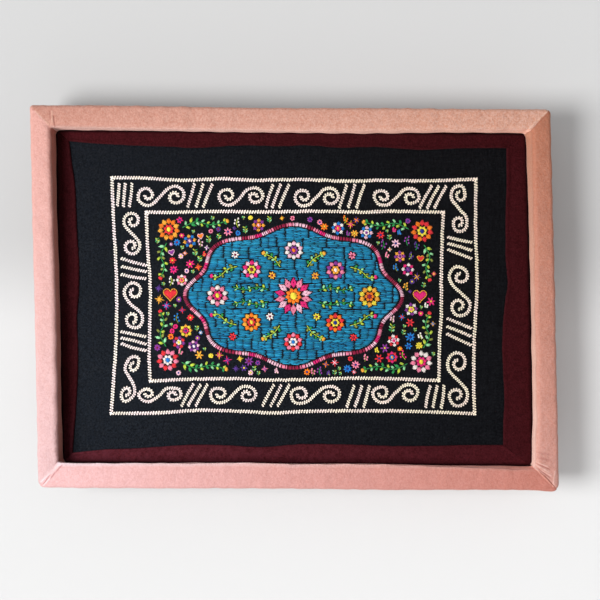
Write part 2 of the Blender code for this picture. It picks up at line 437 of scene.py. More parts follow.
# How far the padding bulges over the inner edge at its front, in the same way
INNER_LEAN = {
    "top": [(0, 1.0), (0.2, 1.8), (0.5, 2.0), (0.8, 1.9), (1, 0.8)],
    "bottom": [(0, 4.0), (0.13, 4.4), (0.40, 4.2), (0.69, 3.5), (0.85, 2.0), (1, 0.8)],
    "left": [(0, 1.4), (0.2, 1.9), (0.5, 2.1), (0.8, 1.6), (1, 0.8)],
    "right": [(0, 3.0), (0.18, 2.2), (0.48, 1.8), (0.82, 0.6), (1, 0.2)],
}
OUTER_BOW = {
    "top": [(0, 0.4), (0.15, 0.1), (0.3, 0.9), (0.42, 1.6), (0.55, 1.4), (0.7, 0.9), (0.85, 1.3), (1, 1.2)],
    "bottom": [(0, 0.2), (0.1, -0.1), (0.3, 0.3), (0.45, 0.7), (0.6, 0.2), (0.75, 0.3), (0.88, 0.9),
               (0.95, 0.5), (1, -1.0)],
    "left": [(0, 0.0), (0.2, 0.5), (0.5, 0.5), (0.8, 0.4), (1, 0.2)],
    "right": [(0, 0.6), (0.1, 0.2), (0.5, 0.0), (0.8, 0.1), (0.93, 0.5), (1, 0.3)],
}
print(len(FOLDS), "folds, heights in mm:", [fold.height for fold in FOLDS])

# %% [markdown]
# ## Curves and small waves
# `smooth_along` draws a smooth curve through a few stations. It serves the bows here, and later the strips'
# edges and the lines of stitches. `fold_height` adds up the folds. `uneven` is a sum of waves in directions
# drawn from a seed, so that no two pieces of cloth are alike, and `WAVES` says how high and how long these
# waves are, in metres: three kinds on the rails, three on the strips and two on the ground cloth.

# %% Curves and waves
FOLD_FADE = 0.0012
WAVES = {
    "edge": (0.00030, 0.035), "padding": (0.00022, 0.028), "pile": (0.00010, 0.0095),
    "puckers": (0.00022, 0.016), "waves": (0.00030, 0.055), "hand": (0.00018, 0.014),
    "slack": (0.00022, 0.075), "pull": (0.00012, 0.024),
}


def smooth_along(stations, along):
    """A value at every place along, on a smooth curve through the stations (Hermite)."""
    spots, values = np.array(stations, float).T
    slopes = np.empty_like(values)
    slopes[1:-1] = (values[2:] - values[:-2]) / (spots[2:] - spots[:-2])
    slopes[0] = (values[1] - values[0]) / (spots[1] - spots[0])
    slopes[-1] = (values[-1] - values[-2]) / (spots[-1] - spots[-2])
    left = np.clip(np.searchsorted(spots, along, side="right") - 1, 0, len(spots) - 2)
    span = spots[left + 1] - spots[left]
    t = (along - spots[left]) / span
    return (
        (2 * t**3 - 3 * t**2 + 1) * values[left]
        + (t**3 - 2 * t**2 + t) * span * slopes[left]
        + (3 * t**2 - 2 * t**3) * values[left + 1]
        + (t**3 - t**2) * span * slopes[left + 1]
    )


def fold_height(u, v):
    """How far the folds raise the velvet at each place, in metres."""
    total = np.zeros(np.broadcast(u, v).shape)
    for fold in FOLDS:
        start, end = np.array(fold.start) * MM, np.array(fold.end) * MM
        run = end - start
        length = np.hypot(*run)
        t = ((u - start[0]) * run[0] + (v - start[1]) * run[1]) / length**2
        aside = ((u - start[0]) * run[1] - (v - start[1]) * run[0]) / length
        past = np.maximum(np.maximum(-t, t - 1) * length, 0)
        total += fold.height * MM * np.exp(-((aside / (fold.width * MM)) ** 2) - (past / FOLD_FADE) ** 2)
    return total


def uneven(a, b, seed, wavelength):
    """A gentle unevenness of -1 to 1 or so, over lengths of about one wavelength: six crossed waves."""
    dice = random.Random(seed)
    total = 0.0
    for _ in range(6):
        angle, phase = dice.uniform(0, math.pi), dice.uniform(0, 2 * math.pi)
        step = 2 * math.pi / wavelength * dice.uniform(0.7, 1.4)
        total = total + np.sin(step * (a * math.cos(angle) + b * math.sin(angle)) + phase)
    return total / 2.6


def waves(kind, a, b, side=""):
    """The small waves of one kind, in metres."""
    height, wavelength = WAVES[kind]
    return height * uneven(a, b, f"{side} {kind}".strip(), wavelength)


print("small waves:", ", ".join(WAVES))

# %% [markdown]
# ## From section to rail
# The steps along a rail are half a millimetre near its ends, where the folds are, and two elsewhere. Its end
# faces lie on the slanted seams, and its outer corners are rounded: there the path turns by half a right
# angle, and the neighbour turns by the other half. Last, `closed_tube` sews the rings into one closed mesh.

# %% Steps and seams
SEAM_GAP = 0.00006
TUCK_DEPTH = {"top left": 0.00038, "top right": 0.00034, "bottom left": 0.00016, "bottom right": 0.00050}
TUCK_REACH, TUCK_STITCH = 0.0007, 0.0022
CORNER_ROUNDING = {"top left": 0.0040, "top right": 0.0070, "bottom left": 0.0080, "bottom right": 0.0085}
INNER_FILLET = 0.0050
# The padding starts this far in front of the wall, and takes this much depth to become full
HARD_DEPTH, SOFT_REACH = 0.010, 0.014


def steps_along(half_length, fine=0.0005, coarse=0.002, fine_reach=0.034):
    """Distances from a rail's end to its middle: fine steps first, then coarse ones."""
    near = np.arange(SEAM_GAP, fine_reach, fine)
    count = int((half_length - fine_reach) / coarse)
    return np.concatenate([near, np.linspace(fine_reach, half_length, count)])


def ring_quads(count, around, closed=False):
    """The faces between rings of points, where each ring is joined to the next."""
    ring, spot = np.meshgrid(np.arange(count if closed else count - 1), np.arange(around), indexing="ij")
    here, there, after = ring * around, (ring + 1) % count * around, (spot + 1) % around
    return np.stack([here + spot, there + spot, there + after, here + after], axis=-1).reshape(-1, 4).tolist()


def closed_tube(name, rings):
    """A closed mesh from rings of points, with a face over each end ring."""
    count, around = rings.shape[:2]
    ends = [list(range(around)), list(range((count - 1) * around, count * around))[::-1]]
    mesh = bpy.data.meshes.new(name)
    mesh.from_pydata(rings.reshape(-1, 3).tolist(), [], ring_quads(count, around) + ends)
    return face_outwards(mesh)


def face_outwards(mesh):
    shape = bmesh.new()
    shape.from_mesh(mesh)
    bmesh.ops.recalc_face_normals(shape, faces=shape.faces)
    shape.to_mesh(mesh)
    shape.free()
    mesh.shade_smooth()
    return mesh


def half_rail(side, corner, across):
    """From the seam at a corner to the middle of a rail: how far it is along, inwards, and from the seam."""
    level = side in ("top", "bottom")
    width = RAIL_WIDTHS[side]
    own_half = OUTER_HALF[0 if level else 1]
    half = own_half - across * RAIL_WIDTHS["left" if level else "top"] / width
    radius = CORNER_ROUNDING[corner] * np.clip(1 - across / 0.010, 0, 1) ** 1.6
    radius = radius + INNER_FILLET * np.clip(1 - (width - across) / 0.007, 0, 1) ** 1.5 + 1e-9
    reach = steps_along(own_half)[:, None] / own_half * half
    turn = np.where(reach < radius, math.radians(45) * (1 - reach / radius), 0)
    along = np.where(reach < radius, half - radius + radius * np.sin(turn), half - reach)
    return along, across + radius * (1 - np.cos(turn)), reach * math.sqrt(0.5)


print("steps along half of the top rail:", len(steps_along(OUTER_HALF[0])))

# %% [markdown]
# ## Tones of the pile, and painted light and shade
# Velvet that leans towards the light is dark and rich, and velvet that leans away is pale. Every rail was
# cut and brushed on its own, so each has tones of its own: shares of red, green and blue at its left or
# bottom end and at its other end. These are partly the pile's own tone and partly painted light and shade,
# which makes a rail paler or darker along its length beyond what the lamp does. The first table is the
# whole rail's. The second is painted light on the inner wall, and painted shade on the left rail's, which
# faces away from the lamp. The third is painted light and shade where the velvet turns down into the
# opening. A ridge gets a painted highlight and a groove painted shade.

# %% Tones of the pile
# Each rail's tones: partly the pile's own and partly painted light and shade along the rail
NAP_AND_PAINTED_LIGHT = {
    "top": ((0.80, 0.71, 0.65), (1.30, 1.47, 1.45)), "bottom": ((1.10, 1.15, 1.30), (1.09, 0.82, 0.80)),
    "left": ((1.00, 1.14, 1.30), (1.04, 1.00, 1.01)), "right": ((1.20, 1.22, 1.31), (0.89, 0.76, 0.63)),
}
# Painted light on the inner walls: paler on the top, bottom and right rails, and painted shade on the left
# rail's inner wall, which faces away from the lamp
LIP_PAINTED_LIGHT = {
    "top": ((1.85, 2.25, 2.50), (1.85, 1.80, 1.80)), "bottom": ((1.70, 2.20, 2.30), (2.00, 2.35, 2.50)),
    "left": ((0.74, 0.38, 0.30), (0.88, 0.48, 0.38)), "right": ((1.95, 2.60, 2.70), (1.28, 1.40, 1.38)),
}
# Painted light and shade where the velvet turns down into the opening: paler on most rails, a little darker on
# the left
EDGE_PAINTED_LIGHT = {
    "top": ((1.00, 1.06, 1.10), (1.00, 1.06, 1.10)), "bottom": ((1.12, 1.40, 1.48), (1.15, 1.25, 1.25)),
    "left": ((1.00, 0.90, 0.88), (1.00, 0.90, 0.88)), "right": ((1.05, 1.08, 1.08), (1.00, 1.00, 1.00)),
}
# How far below the front the inner wall's painted light starts, and how far it takes to come in
LIP_START = {"top": 0.0005, "bottom": 0.0002, "left": 0.0012, "right": 0.0012}
LIP_REACH = {"top": 0.0040, "bottom": 0.0024, "left": 0.0060, "right": 0.0060}
# How wide the painted light on the inner wall is, and where the painted light at the edge starts and how far
# it reaches
LIP_WIDTH, EDGE_START, EDGE_REACH = 0.010, 0.0024, 0.0020
# Painted highlight and shade: what a millimetre of height adds to each tone, on a ridge and in a groove
RIDGE_PAINTED_HIGHLIGHT, GROOVE_PAINTED_SHADE = (0.7, 1.4, 1.5), (0.75, 1.1, 1.1)
# Light sinks into the pile, and only this share of it comes back
PILE_DEPTH = 0.83
# How strongly each rail is mottled with blots
MOTTLE = {"top": 3.0, "bottom": 1.6, "left": 1.4, "right": 1.3}


def between(ends, t):
    """A table's two ends, mixed by t."""
    start, end = np.array(ends)
    return start * (1 - t) + end * t


def smooth_step(value):
    value = np.clip(value, 0, 1)[..., None]
    return value * value * (3 - 2 * value)


def pile_tone(side, where, to_wall, below_front, folds):
    """The tone of the pile at every point, with its painted light and shade, and as a fourth number how
    mottled it is.
    """
    t = np.clip(where, 0, 1)[..., None]
    pile_and_painted_light, lip_painted_light, edge_painted_light = (between(table[side], t) for table in (NAP_AND_PAINTED_LIGHT, LIP_PAINTED_LIGHT, EDGE_PAINTED_LIGHT))
    # Where the painted light of the inner wall comes in
    lip_light_share = smooth_step((below_front - LIP_START[side]) / LIP_REACH[side]) * (to_wall < LIP_WIDTH)[..., None]
    # Where the painted light at the edge comes in
    edge = smooth_step((EDGE_START - to_wall) / EDGE_REACH) * (1 - lip_light_share)
    # A painted highlight on the ridges and painted shade in the grooves
    raised = folds[..., None] / MM
    fold_painted_light = np.clip(1 + raised * np.where(raised > 0, RIDGE_PAINTED_HIGHLIGHT, GROOVE_PAINTED_SHADE), 0.5, 2.2)
    tone = PILE_DEPTH * pile_and_painted_light * (1 + (lip_painted_light - 1) * lip_light_share) * (1 + (edge_painted_light - 1) * edge) * fold_painted_light
    return np.concatenate([tone, np.full_like(t, MOTTLE[side])], axis=-1)


print("how mottled the rails are:", MOTTLE)

# %% [markdown]
# ## The four rails
# `rail_rings` carries the section from seam to seam and moves its points: wander, padding and folds are
# added to it, and the tones of the pile, with their painted light and shade, are worked out for the same
# points.

# %% Rings of a rail
def rail_rings(side):
    level = side in ("top", "bottom")
    width = RAIL_WIDTHS[side]
    across, height = rail_section(side)
    own_half, other_half = OUTER_HALF if level else OUTER_HALF[::-1]
    ends = ("left", "right") if level else ("bottom", "top")
    corners = [f"{side} {end}" if level else f"{end} {side}" for end in ends]
    start, finish = (half_rail(side, corner, across) for corner in corners)
    along = np.concatenate([-start[0], finish[0][::-1][1:]])
    inwards = np.concatenate([start[1], finish[1][::-1][1:]])
    from_seam = np.concatenate([start[2], finish[2][::-1][1:]])
    heights = np.broadcast_to(height, along.shape).copy()
    where = np.clip((along / own_half + 1) / 2, 0, 1)
    # The section's outward direction, to tuck the velvet in at the seams and to raise the folds
    turned = np.stack([np.roll(across, -1) - np.roll(across, 1), np.roll(height, -1) - np.roll(height, 1)])
    outward = np.stack([turned[1], -turned[0]]) / np.maximum(np.hypot(*turned), 1e-9)
    if outward[1][np.argmin(height)] > 0:
        outward = -outward
    towards_inside = np.clip((inwards - 0.45 * width) / (0.55 * width), 0, 1)
    wander = smooth_along(INNER_BOW[side], where) * MM * towards_inside**1.5
    bulge = np.clip((-heights - REBATE) / (RAIL_DEPTH - REBATE - INNER_RADIUS[side]), 0, 1)
    wander = wander + smooth_along(INNER_LEAN[side], where) * MM * towards_inside**1.5 * bulge
    wander = wander + smooth_along(OUTER_BOW[side], where) * MM * np.clip(1 - inwards / (0.7 * width), 0, 1)
    wander = wander + waves("edge", along, heights, side) * towards_inside
    depths = np.where(along < 0, TUCK_DEPTH[corners[0]], TUCK_DEPTH[corners[1]])
    depths = depths * (1 + 0.5 * uneven(inwards, along * 0, side + " stitches", TUCK_STITCH))
    tuck = depths * np.exp(-((from_seam / TUCK_REACH) ** 1.4)) * (1 - 0.5 * towards_inside)
    padding = waves("padding", along, inwards, side) + waves("pile", along, inwards, side)
    soft = np.clip((-heights - HARD_DEPTH) / SOFT_REACH, 0, 1)
    push = padding * soft - tuck * np.clip(-heights / 0.008, 0.15, 1)
    inwards = inwards + wander + push * outward[0]
    heights = heights + push * outward[1]
    outwards = (other_half - inwards) * (1 if side in ("top", "right") else -1)
    u, v = (along, outwards) if level else (outwards, along)
    folds = fold_height(u, v) * np.clip(-outward[1], 0, 1)
    return on_frame(u, v, heights - folds), pile_tone(side, where, width - across, height + RAIL_DEPTH, folds)


print("rings, points round, and x, y and z of the top rail:", rail_rings("top")[0].shape)

# %% [markdown]
# ## Dusty-rose velvet
# Velvet is a pile of fine upright threads. Its colour depends on which way they lean, so it looks brushed and
# mottled, and its rim is paler than the rest. Three sizes of noise make that: broad brushed patches, blots
# of a few millimetres, and the grain of the pile. Sheen and the rails' painted light give the pale rim. The
# velvet is painted pinker at the lower left, in the lamp's light, and browner at the upper right, in shade:
# two colours mixed by place. A point attribute brings the tones of each rail, with their painted light and
# shade.

# %% Velvet finish
# Painted light and shade: pinker in the lamp's light at the lower left, browner in shade at the upper right
ROSE_LIT_LOW_LEFT, ROSE_SHADED_HIGH_RIGHT = (0.50, 0.285, 0.255, 1), (0.50, 0.205, 0.137, 1)
ROSE_BLOT, ROSE_TIP = (0.37, 0.145, 0.100, 1), (0.68, 0.43, 0.38, 1)
PALEST = (0.97, 0.97, 0.97, 1)


def velvet_finish():
    material, shader, place = new_finish(
        "rose velvet", 0.85, sheen=0.30, sheen_roughness=0.40, sheen_tint=(1.0, 0.66, 0.58)
    )
    x, _, z = parts(place)
    # Painted light and shade, running from the lamp at the lower left to the upper right
    lean = (x - MIDDLE.x) * 1.6 + (z - MIDDLE.z) * 1.3 + noise(place, 22.0) * 0.22
    colour = mix_colours(ramp(lean, -0.40, 0.60), ROSE_LIT_LOW_LEFT, ROSE_SHADED_HIGH_RIGHT)
    mottled = attribute(place.tree, "pile_and_painted_light", "Alpha")
    blots = ramp(noise(place, 300.0, 4.0, 0.7), 0.34, 0.66)
    colour = mix_colours(mottled * blots * 0.16, colour, ROSE_BLOT)
    pile = noise(place, 620.0, 3.0, 0.7)
    colour = mix_colours(ramp(pile, 0.35, 0.65) * (mottled * 0.10 + 0.18), colour, ROSE_TIP)
    # Each rail's tones, with their painted light and shade
    colour = mix_colours(1.0, colour, attribute(place.tree, "pile_and_painted_light", "Color"), blend="MULTIPLY")
    set_colour(shader, mix_colours(1.0, colour, PALEST, blend="DARKEN"))
    set_bump(shader, pile + blots * 1.2, 0.00035, 0.8)
    return material


rose_velvet = velvet_finish()
for side in RAIL_WIDTHS:
    rings, tones = rail_rings(side)
    mesh = closed_tube("velvet_rail_" + side, rings)
    mesh.attributes.new("pile_and_painted_light", "FLOAT_COLOR", "POINT").data.foreach_set("color", tones.ravel())
    rail = add_mesh_object("velvet_rail_" + side, mesh, rose_velvet)
    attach(rail, "root")
    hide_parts("rail_" + side)
    print(rail.name, "faces:", len(rail.data.polygons))

# %% [markdown]
# ## The folded maroon strips
# Four strips of maroon velvet are sewn on round the cloth. Each has its inner edge turned under, so that edge
# is a soft raised roll that wanders, and where two strips meet they are folded to a slanted seam. The widths
# that show are those of the CAD solids. Each strip is a grid: from the rail to the fold, and along the strip.
# The roll and the puckers are heights added to that grid, and a second, flat grid closes its back.

# %% Strip shapes
OPENING_HALF = (OUTER_HALF[0] - RAIL_WIDTHS["left"], OUTER_HALF[1] - RAIL_WIDTHS["top"])
UNDER_RAIL = 0.0055
CLOTH_HALF = (OPENING_HALF[0] + UNDER_RAIL, OPENING_HALF[1] + UNDER_RAIL)
STRIP_FRONT, STRIP_BACK = -0.0057, -0.0042
# The second number is how far in from the rail its painted shade reaches
STRIP_SEAM, RAIL_SHADE_REACH = 0.00003, 0.0026
# How much of each strip shows inside its rail, in millimetres, from its left or bottom end (0) to the other
SHOWING = {
    "top": [(0, 10.7), (0.06, 12.8), (0.14, 14.4), (0.24, 15.8), (0.29, 16.7), (0.34, 15.1), (0.39, 13.8),
            (0.49, 14.2), (0.545, 13.2), (0.62, 15.4), (0.70, 14.4), (0.80, 17.0), (0.90, 15.1), (1, 14.7)],
    "bottom": [(0, 9.8), (0.08, 13.4), (0.13, 14.2), (0.21, 16.7), (0.28, 18.7), (0.36, 18.3), (0.44, 16.8),
               (0.53, 20.0), (0.65, 19.9), (0.74, 18.8), (0.84, 19.3), (0.92, 20.3), (1, 20.6)],
    "left": [(0, 9.5), (0.07, 11.5), (0.14, 13.9), (0.25, 16.4), (0.34, 17.4), (0.43, 17.0), (0.52, 19.6),
             (0.61, 20.2), (0.70, 19.3), (0.79, 18.6), (0.865, 17.9), (0.93, 15.3), (1, 13.2)],
    "right": [(0, 30.0), (0.08, 29.2), (0.15, 27.7), (0.25, 28.3), (0.33, 28.6), (0.41, 27.2), (0.49, 24.3),
              (0.545, 21.5), (0.62, 23.0), (0.71, 22.6), (0.80, 21.8), (0.87, 20.5), (0.95, 20.1), (1, 19.8)],
}
# Ridges and grooves, in metres: how high, how far from the fold or the seam, and half their width
ROLL, DIP = (0.00070, 0.0011, 0.0013), (-0.00035, 0.0048, 0.0022)
SEAM, SEAM_RIDGE = (-0.00010, 0, 0.0008), (0.00012, 0.0020, 0.0014)
FOLD_RADIUS = 0.0010
# Which way is along each strip and which way is in, towards the middle of the cloth
ALONG = {"top": (1, 0), "bottom": (1, 0), "left": (0, 1), "right": (0, 1)}
INWARD = {"top": (0, -1), "bottom": (0, 1), "left": (1, 0), "right": (-1, 0)}
# How light each strip is: partly its pile's own tone and partly painted light and shade; the left one is
# painted darker, in the shade of the left rail
STRIP_PILE_AND_PAINTED_LIGHT = {"top": 0.86, "bottom": 1.20, "left": 0.60, "right": 0.88}


def strip_corners(side):
    """The places of a strip's two outer corners and of its two folded corners, at its start and its end."""
    outer, folded = [], []
    for end in (-1, 1):
        if side in ("top", "bottom"):
            upright, level = ("left", "right")[end > 0], side
        else:
            upright, level = side, ("bottom", "top")[end > 0]
        sign = np.array([1 if upright == "right" else -1, 1 if level == "top" else -1])
        shown = np.array([
            SHOWING[upright][-1 if level == "top" else 0][1],
            SHOWING[level][-1 if upright == "right" else 0][1],
        ])
        outer.append(sign * CLOTH_HALF)
        folded.append(sign * (np.array(OPENING_HALF) - shown * MM))
    return outer, folded


def bump(distance, height, middle, reach):
    """A rounded ridge, or with a height below zero a groove, across a strip."""
    return height * np.exp(-(((distance - middle) / reach) ** 2))


def strip_heights(side, along, inward, to_fold, to_seam):
    """How far the front of a strip stands above its flat place, in metres."""
    relief = bump(to_fold, *ROLL) + bump(to_fold, *DIP) + bump(to_seam, *SEAM) + bump(to_seam, *SEAM_RIDGE)
    puckers = waves("puckers", along, inward, side) * np.clip(to_fold / 0.004, 0.2, 1)
    from_round = 1 - np.clip(to_fold / FOLD_RADIUS, 0, 1)
    edge = FOLD_RADIUS * (np.sqrt(np.clip(1 - from_round**2, 0, 1)) - 1)
    return relief + puckers + waves("waves", along, inward * 0.3, side) + edge


def strip_mesh(side, columns=220, rows=16):
    (outer_start, outer_end), (fold_start, fold_end) = strip_corners(side)
    along, inward = np.array(ALONG[side]), np.array(INWARD[side])
    t = (1 - np.cos(np.linspace(0, np.pi, columns + 1))) / 2 * 0.5 + np.linspace(0, 1, columns + 1) * 0.5
    s = np.linspace(0, 1, rows + 1) ** 0.8
    rail_edge = abs(np.dot(OPENING_HALF, inward))
    outer_edge = abs(np.dot(CLOTH_HALF, inward))
    shown = smooth_along(SHOWING[side], t) * MM
    shown = shown + waves("hand", t * 0.5, t * 0, side) * np.sin(np.pi * t)
    depth = s[None, :] * (outer_edge - rail_edge + shown)[:, None]
    # The slanted ends: where a row starts and ends, by how far in it is
    share = s[None, :] * np.ones_like(depth)
    begin = outer_start @ along * (1 - share) + fold_start @ along * share + STRIP_SEAM
    finish = outer_end @ along * (1 - share) + fold_end @ along * share - STRIP_SEAM
    run = begin + (finish - begin) * t[:, None]
    to_fold = (outer_edge - rail_edge + shown)[:, None] - depth
    to_seam = np.minimum(run - begin, finish - run)
    front = STRIP_FRONT - strip_heights(side, run, depth, to_fold, to_seam)
    places = run[..., None] * along + (outer_edge - depth)[..., None] * -inward
    u, v = places[..., 0], places[..., 1]
    rings = np.concatenate([on_frame(u, v, front), on_frame(u, v, STRIP_BACK)[:, ::-1]], axis=1)
    mesh = closed_tube("maroon_strip_" + side, rings)
    # Painted shade: near the rail, in its shadow, the strip is darker
    clear = np.clip((depth - (outer_edge - rail_edge)) / RAIL_SHADE_REACH, 0, 1) * STRIP_PILE_AND_PAINTED_LIGHT[side]
    clear = np.concatenate([clear, clear[:, ::-1]], axis=1)
    mesh.attributes.new("clear", "FLOAT", "POINT").data.foreach_set("value", clear.ravel())
    return mesh, float((to_fold[:, 0] * np.gradient(run[:, rows // 2])).sum())


print("widest place of each strip, mm:", {side: max(shown for _, shown in SHOWING[side]) for side in SHOWING})

# %% [markdown]
# ## Maroon velvet
# The strips' velvet is so dark that little more than its sheen and its blots show. At the bottom it is painted
# pinker than elsewhere, most of all to the left, near the lamp: a painted sheen.

# %% Maroon finish and the four strips
# The second maroon is a painted sheen, pinker, for the bottom strip near the lamp
MAROON, MAROON_PAINTED_SHEEN = (0.039, 0.0036, 0.0052, 1), (0.070, 0.0145, 0.0225, 1)
MAROON_BLOT, MAROON_TIP = (0.020, 0.0016, 0.0022, 1), (0.086, 0.013, 0.018, 1)


def maroon_finish():
    material, shader, place = new_finish(
        "maroon velvet", 0.9, gloss=0.03, sheen=0.03, sheen_roughness=0.5, sheen_tint=(1.0, 0.40, 0.45)
    )
    x, _, z = parts(place)
    # Painted sheen: pinker at the bottom, most of all to the left, near the lamp
    low = ramp(z, MIDDLE.z - 0.10, MIDDLE.z - 0.165)
    left = ramp(x, MIDDLE.x + 0.25, MIDDLE.x - 0.20)
    colour = mix_colours(low * (left * 0.8 + 0.15), MAROON, MAROON_PAINTED_SHEEN)
    blots = ramp(noise(place, 260.0, 4.0, 0.7), 0.34, 0.66)
    colour = mix_colours(blots * 0.80, colour, MAROON_BLOT)
    pile = ramp(noise(place, 560.0, 3.0, 0.75), 0.36, 0.66)
    colour = mix_colours(pile * 0.50, colour, MAROON_TIP)
    # Painted shade near the rail, and each strip's painted light and shade
    set_colour(shader, shaded(colour, ramp(attribute(place.tree, "clear"), 0, 1.2, 0.06, 0.98)))
    set_bump(shader, pile + blots, 0.0003, 0.8)
    return material


maroon_velvet = maroon_finish()
strips = {}
for side in SHOWING:
    mesh, area = strip_mesh(side)
    strip = add_mesh_object("maroon_strip_" + side, mesh, maroon_velvet)
    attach(strip, "root")
    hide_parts("strip_" + side)
    strips[side] = (strip, area)
    print(strip.name, "faces:", len(mesh.polygons), "area, m2:", round(area, 5))

# %% [markdown]
# ## The black ground cloth
# One piece of black wool carries the embroidery and is held in the rebate. Stitching pulls a cloth about, so
# it is not quite flat: it rises and sinks by a fraction of a millimetre. It is a closed slab of fine squares,
# its front moved by gentle waves. The weave itself is far too fine for geometry, so it goes into the finish:
# two sine waves, one across and one up, whose product is one tiny bump for each thread and also paints each
# thread paler on top and darker between: painted light and shade. Slubs, the thicker places of a yarn, are
# noise drawn out along both ways. Towards the lamp at the lower left the cloth is painted paler and bluer: a
# painted sheen.

# %% Ground cloth
GROUND_FRONT, GROUND_BACK = -0.0039, -0.0024
SQUARES = (120, 86)
THREAD_PAIR = 0.0011
# The second black is a painted sheen, paler and bluer, for the lower left near the lamp
BLACK, BLACK_PAINTED_SHEEN = (0.0042, 0.0041, 0.0050, 1), (0.0078, 0.0100, 0.0140, 1)
SLUB = (0.0115, 0.0125, 0.0145, 1)


def ground_height(u, v):
    """How far the ground cloth stands above its flat place."""
    return waves("slack", u, v) + waves("pull", u, v)


def slab_mesh(name, u, v, front, back):
    """A closed slab over a grid of places: its front, its back, and walls round its edge."""
    rows, columns = u.shape
    points = np.concatenate([on_frame(u, v, height).reshape(-1, 3) for height in (front, back)])
    i, j = np.meshgrid(np.arange(rows - 1), np.arange(columns - 1), indexing="ij")
    first = (i * columns + j).ravel()
    quads = np.stack([first, first + 1, first + columns + 1, first + columns], axis=1)
    count = rows * columns
    grid = np.arange(count).reshape(rows, columns)
    edge = [*grid[0], *grid[1:, -1], *grid[-1, -2::-1], *grid[-2:0:-1, 0]]
    walls = [[a, b, b + count, a + count] for a, b in zip(edge, edge[1:] + edge[:1])]
    mesh = bpy.data.meshes.new(name)
    mesh.from_pydata(points.tolist(), [], quads.tolist() + (quads[:, ::-1] + count).tolist() + walls)
    return face_outwards(mesh)


def cloth_finish():
    material, shader, place = new_finish(
        "black cloth", 0.95, gloss=0.02, sheen=0.008, sheen_roughness=0.4, sheen_tint=(0.70, 0.80, 1.0)
    )
    x, _, z = parts(place)
    warp, weft = ((way * (2 * math.pi / THREAD_PAIR)).math("SINE") for way in (x, z))
    weave = warp * weft
    slubs = [noise(place, 90.0, 3.0, 0.6, stretch) for stretch in ((1, 1, 9), (9, 1, 1))]
    streaks = ramp(slubs[0] + slubs[1], 0.8, 1.25)
    # Painted sheen: paler and bluer towards the lamp at the lower left
    painted_sheen_share = ramp(x - MIDDLE.x + (z - MIDDLE.z) * 0.55, 0.20, -0.26)
    colour = mix_colours(streaks * 0.45, mix_colours(painted_sheen_share, BLACK, BLACK_PAINTED_SHEEN), SLUB)
    grain = noise(place, 560.0, 3.0, 0.75)
    # Painted light and shade of the weave: each thread is painted paler on top and darker between threads
    lit = ramp(weave, -1, 1, 0.80, 1.15) * ramp(grain, 0.32, 0.68, 0.37, 1.34)
    set_colour(shader, shaded(colour, lit))
    set_bump(shader, weave + streaks, 0.00012, 0.7)
    return material


u, v = np.meshgrid(
    np.linspace(-CLOTH_HALF[0], CLOTH_HALF[0], SQUARES[0] + 1),
    np.linspace(-CLOTH_HALF[1], CLOTH_HALF[1], SQUARES[1] + 1),
)
ground_mesh = slab_mesh("ground_cloth_woven", u, v, GROUND_FRONT - ground_height(u, v), GROUND_BACK)
ground = add_mesh_object("ground_cloth_woven", ground_mesh, cloth_finish())
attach(ground, "root")
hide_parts("ground_cloth")
print("ground cloth faces:", len(ground_mesh.polygons))

# %% [markdown]
# ## Wool yarn
# All the embroidery is in two-ply wool. The plies wind round each other, so light and shade run round a
# thread as a spiral, and the finish paints that shade into the yarn's colour. Each thread carries two
# attributes for that: `along`, the metres from its start, and `turn`, the direction round it as a cosine and a
# sine. Two plies repeat twice in a turn, which takes the doubled angle. A third attribute, `dye`, is the
# thread's own colour, so a piece can hold threads of many colours. The fourth, `open`, is 1 where the thread
# lies free and less where it dives between others, and there the finish paints it darker: painted shade.

# %% Yarn finish
PLY_TWIST = 0.0034


def yarn_finish(name, shade, fuzz, sheen=0.12, tucked_shade=0.35, free=1.0):
    """Yarn with painted shade between its plies, and darker painted shade where it dives, up to where it lies
    free.
    """
    material, shader, place = new_finish(name, 0.75, gloss=0.14, sheen=sheen, sheen_tint=(1.0, 0.97, 0.93))
    cosine, sine, _ = parts(attribute(place.tree, "turn", "Vector"))
    angle = attribute(place.tree, "along") * (2 * math.pi / PLY_TWIST)
    double_cosine, double_sine = cosine * cosine - sine * sine, cosine * sine * 2.0
    spiral = angle.math("SINE") * double_cosine + angle.math("COSINE") * double_sine
    hair = noise(place, 1500.0, 2.0, 0.7)
    # Painted shade between the plies and where the yarn dives
    light = ramp(spiral, -1, 0.4, shade, 1.0) * ramp(attribute(place.tree, "open"), 0, free, tucked_shade, 1.0)
    light = light * ramp(hair, 0.3, 0.7, 1.0 - fuzz, 1.0 + 0.5 * fuzz)
    light = light * ramp(noise(place, 70.0), 0.3, 0.7, 0.94, 1.05)
    set_colour(shader, shaded(attribute(place.tree, "dye", "Color"), light))
    set_bump(shader, spiral + hair * 0.8, 0.00006, 0.7)
    return material


cream_yarn = yarn_finish("cream yarn", shade=0.98, fuzz=0.06, sheen=1.0, tucked_shade=0.02, free=0.64)
print("plies turn once in", round(PLY_TWIST / MM, 1), "mm")

# %% [markdown]
# ## Trees of nodes for stitches
# A line of stitches is a path with the same thing all along it, which is what Geometry Nodes are good at. The
# paths are a mesh with edges only, and its points carry the dye. `new_stitch_tree` starts a tree with named
# inputs, and `end_tree` ends it. `stitch` gives the paths a modifier with that tree, sets its inputs by their
# identifiers, takes the mesh that comes out, and throws the paths away, so nothing is left that could change
# later.

# %% Helpers for stitch trees
embroidery = []


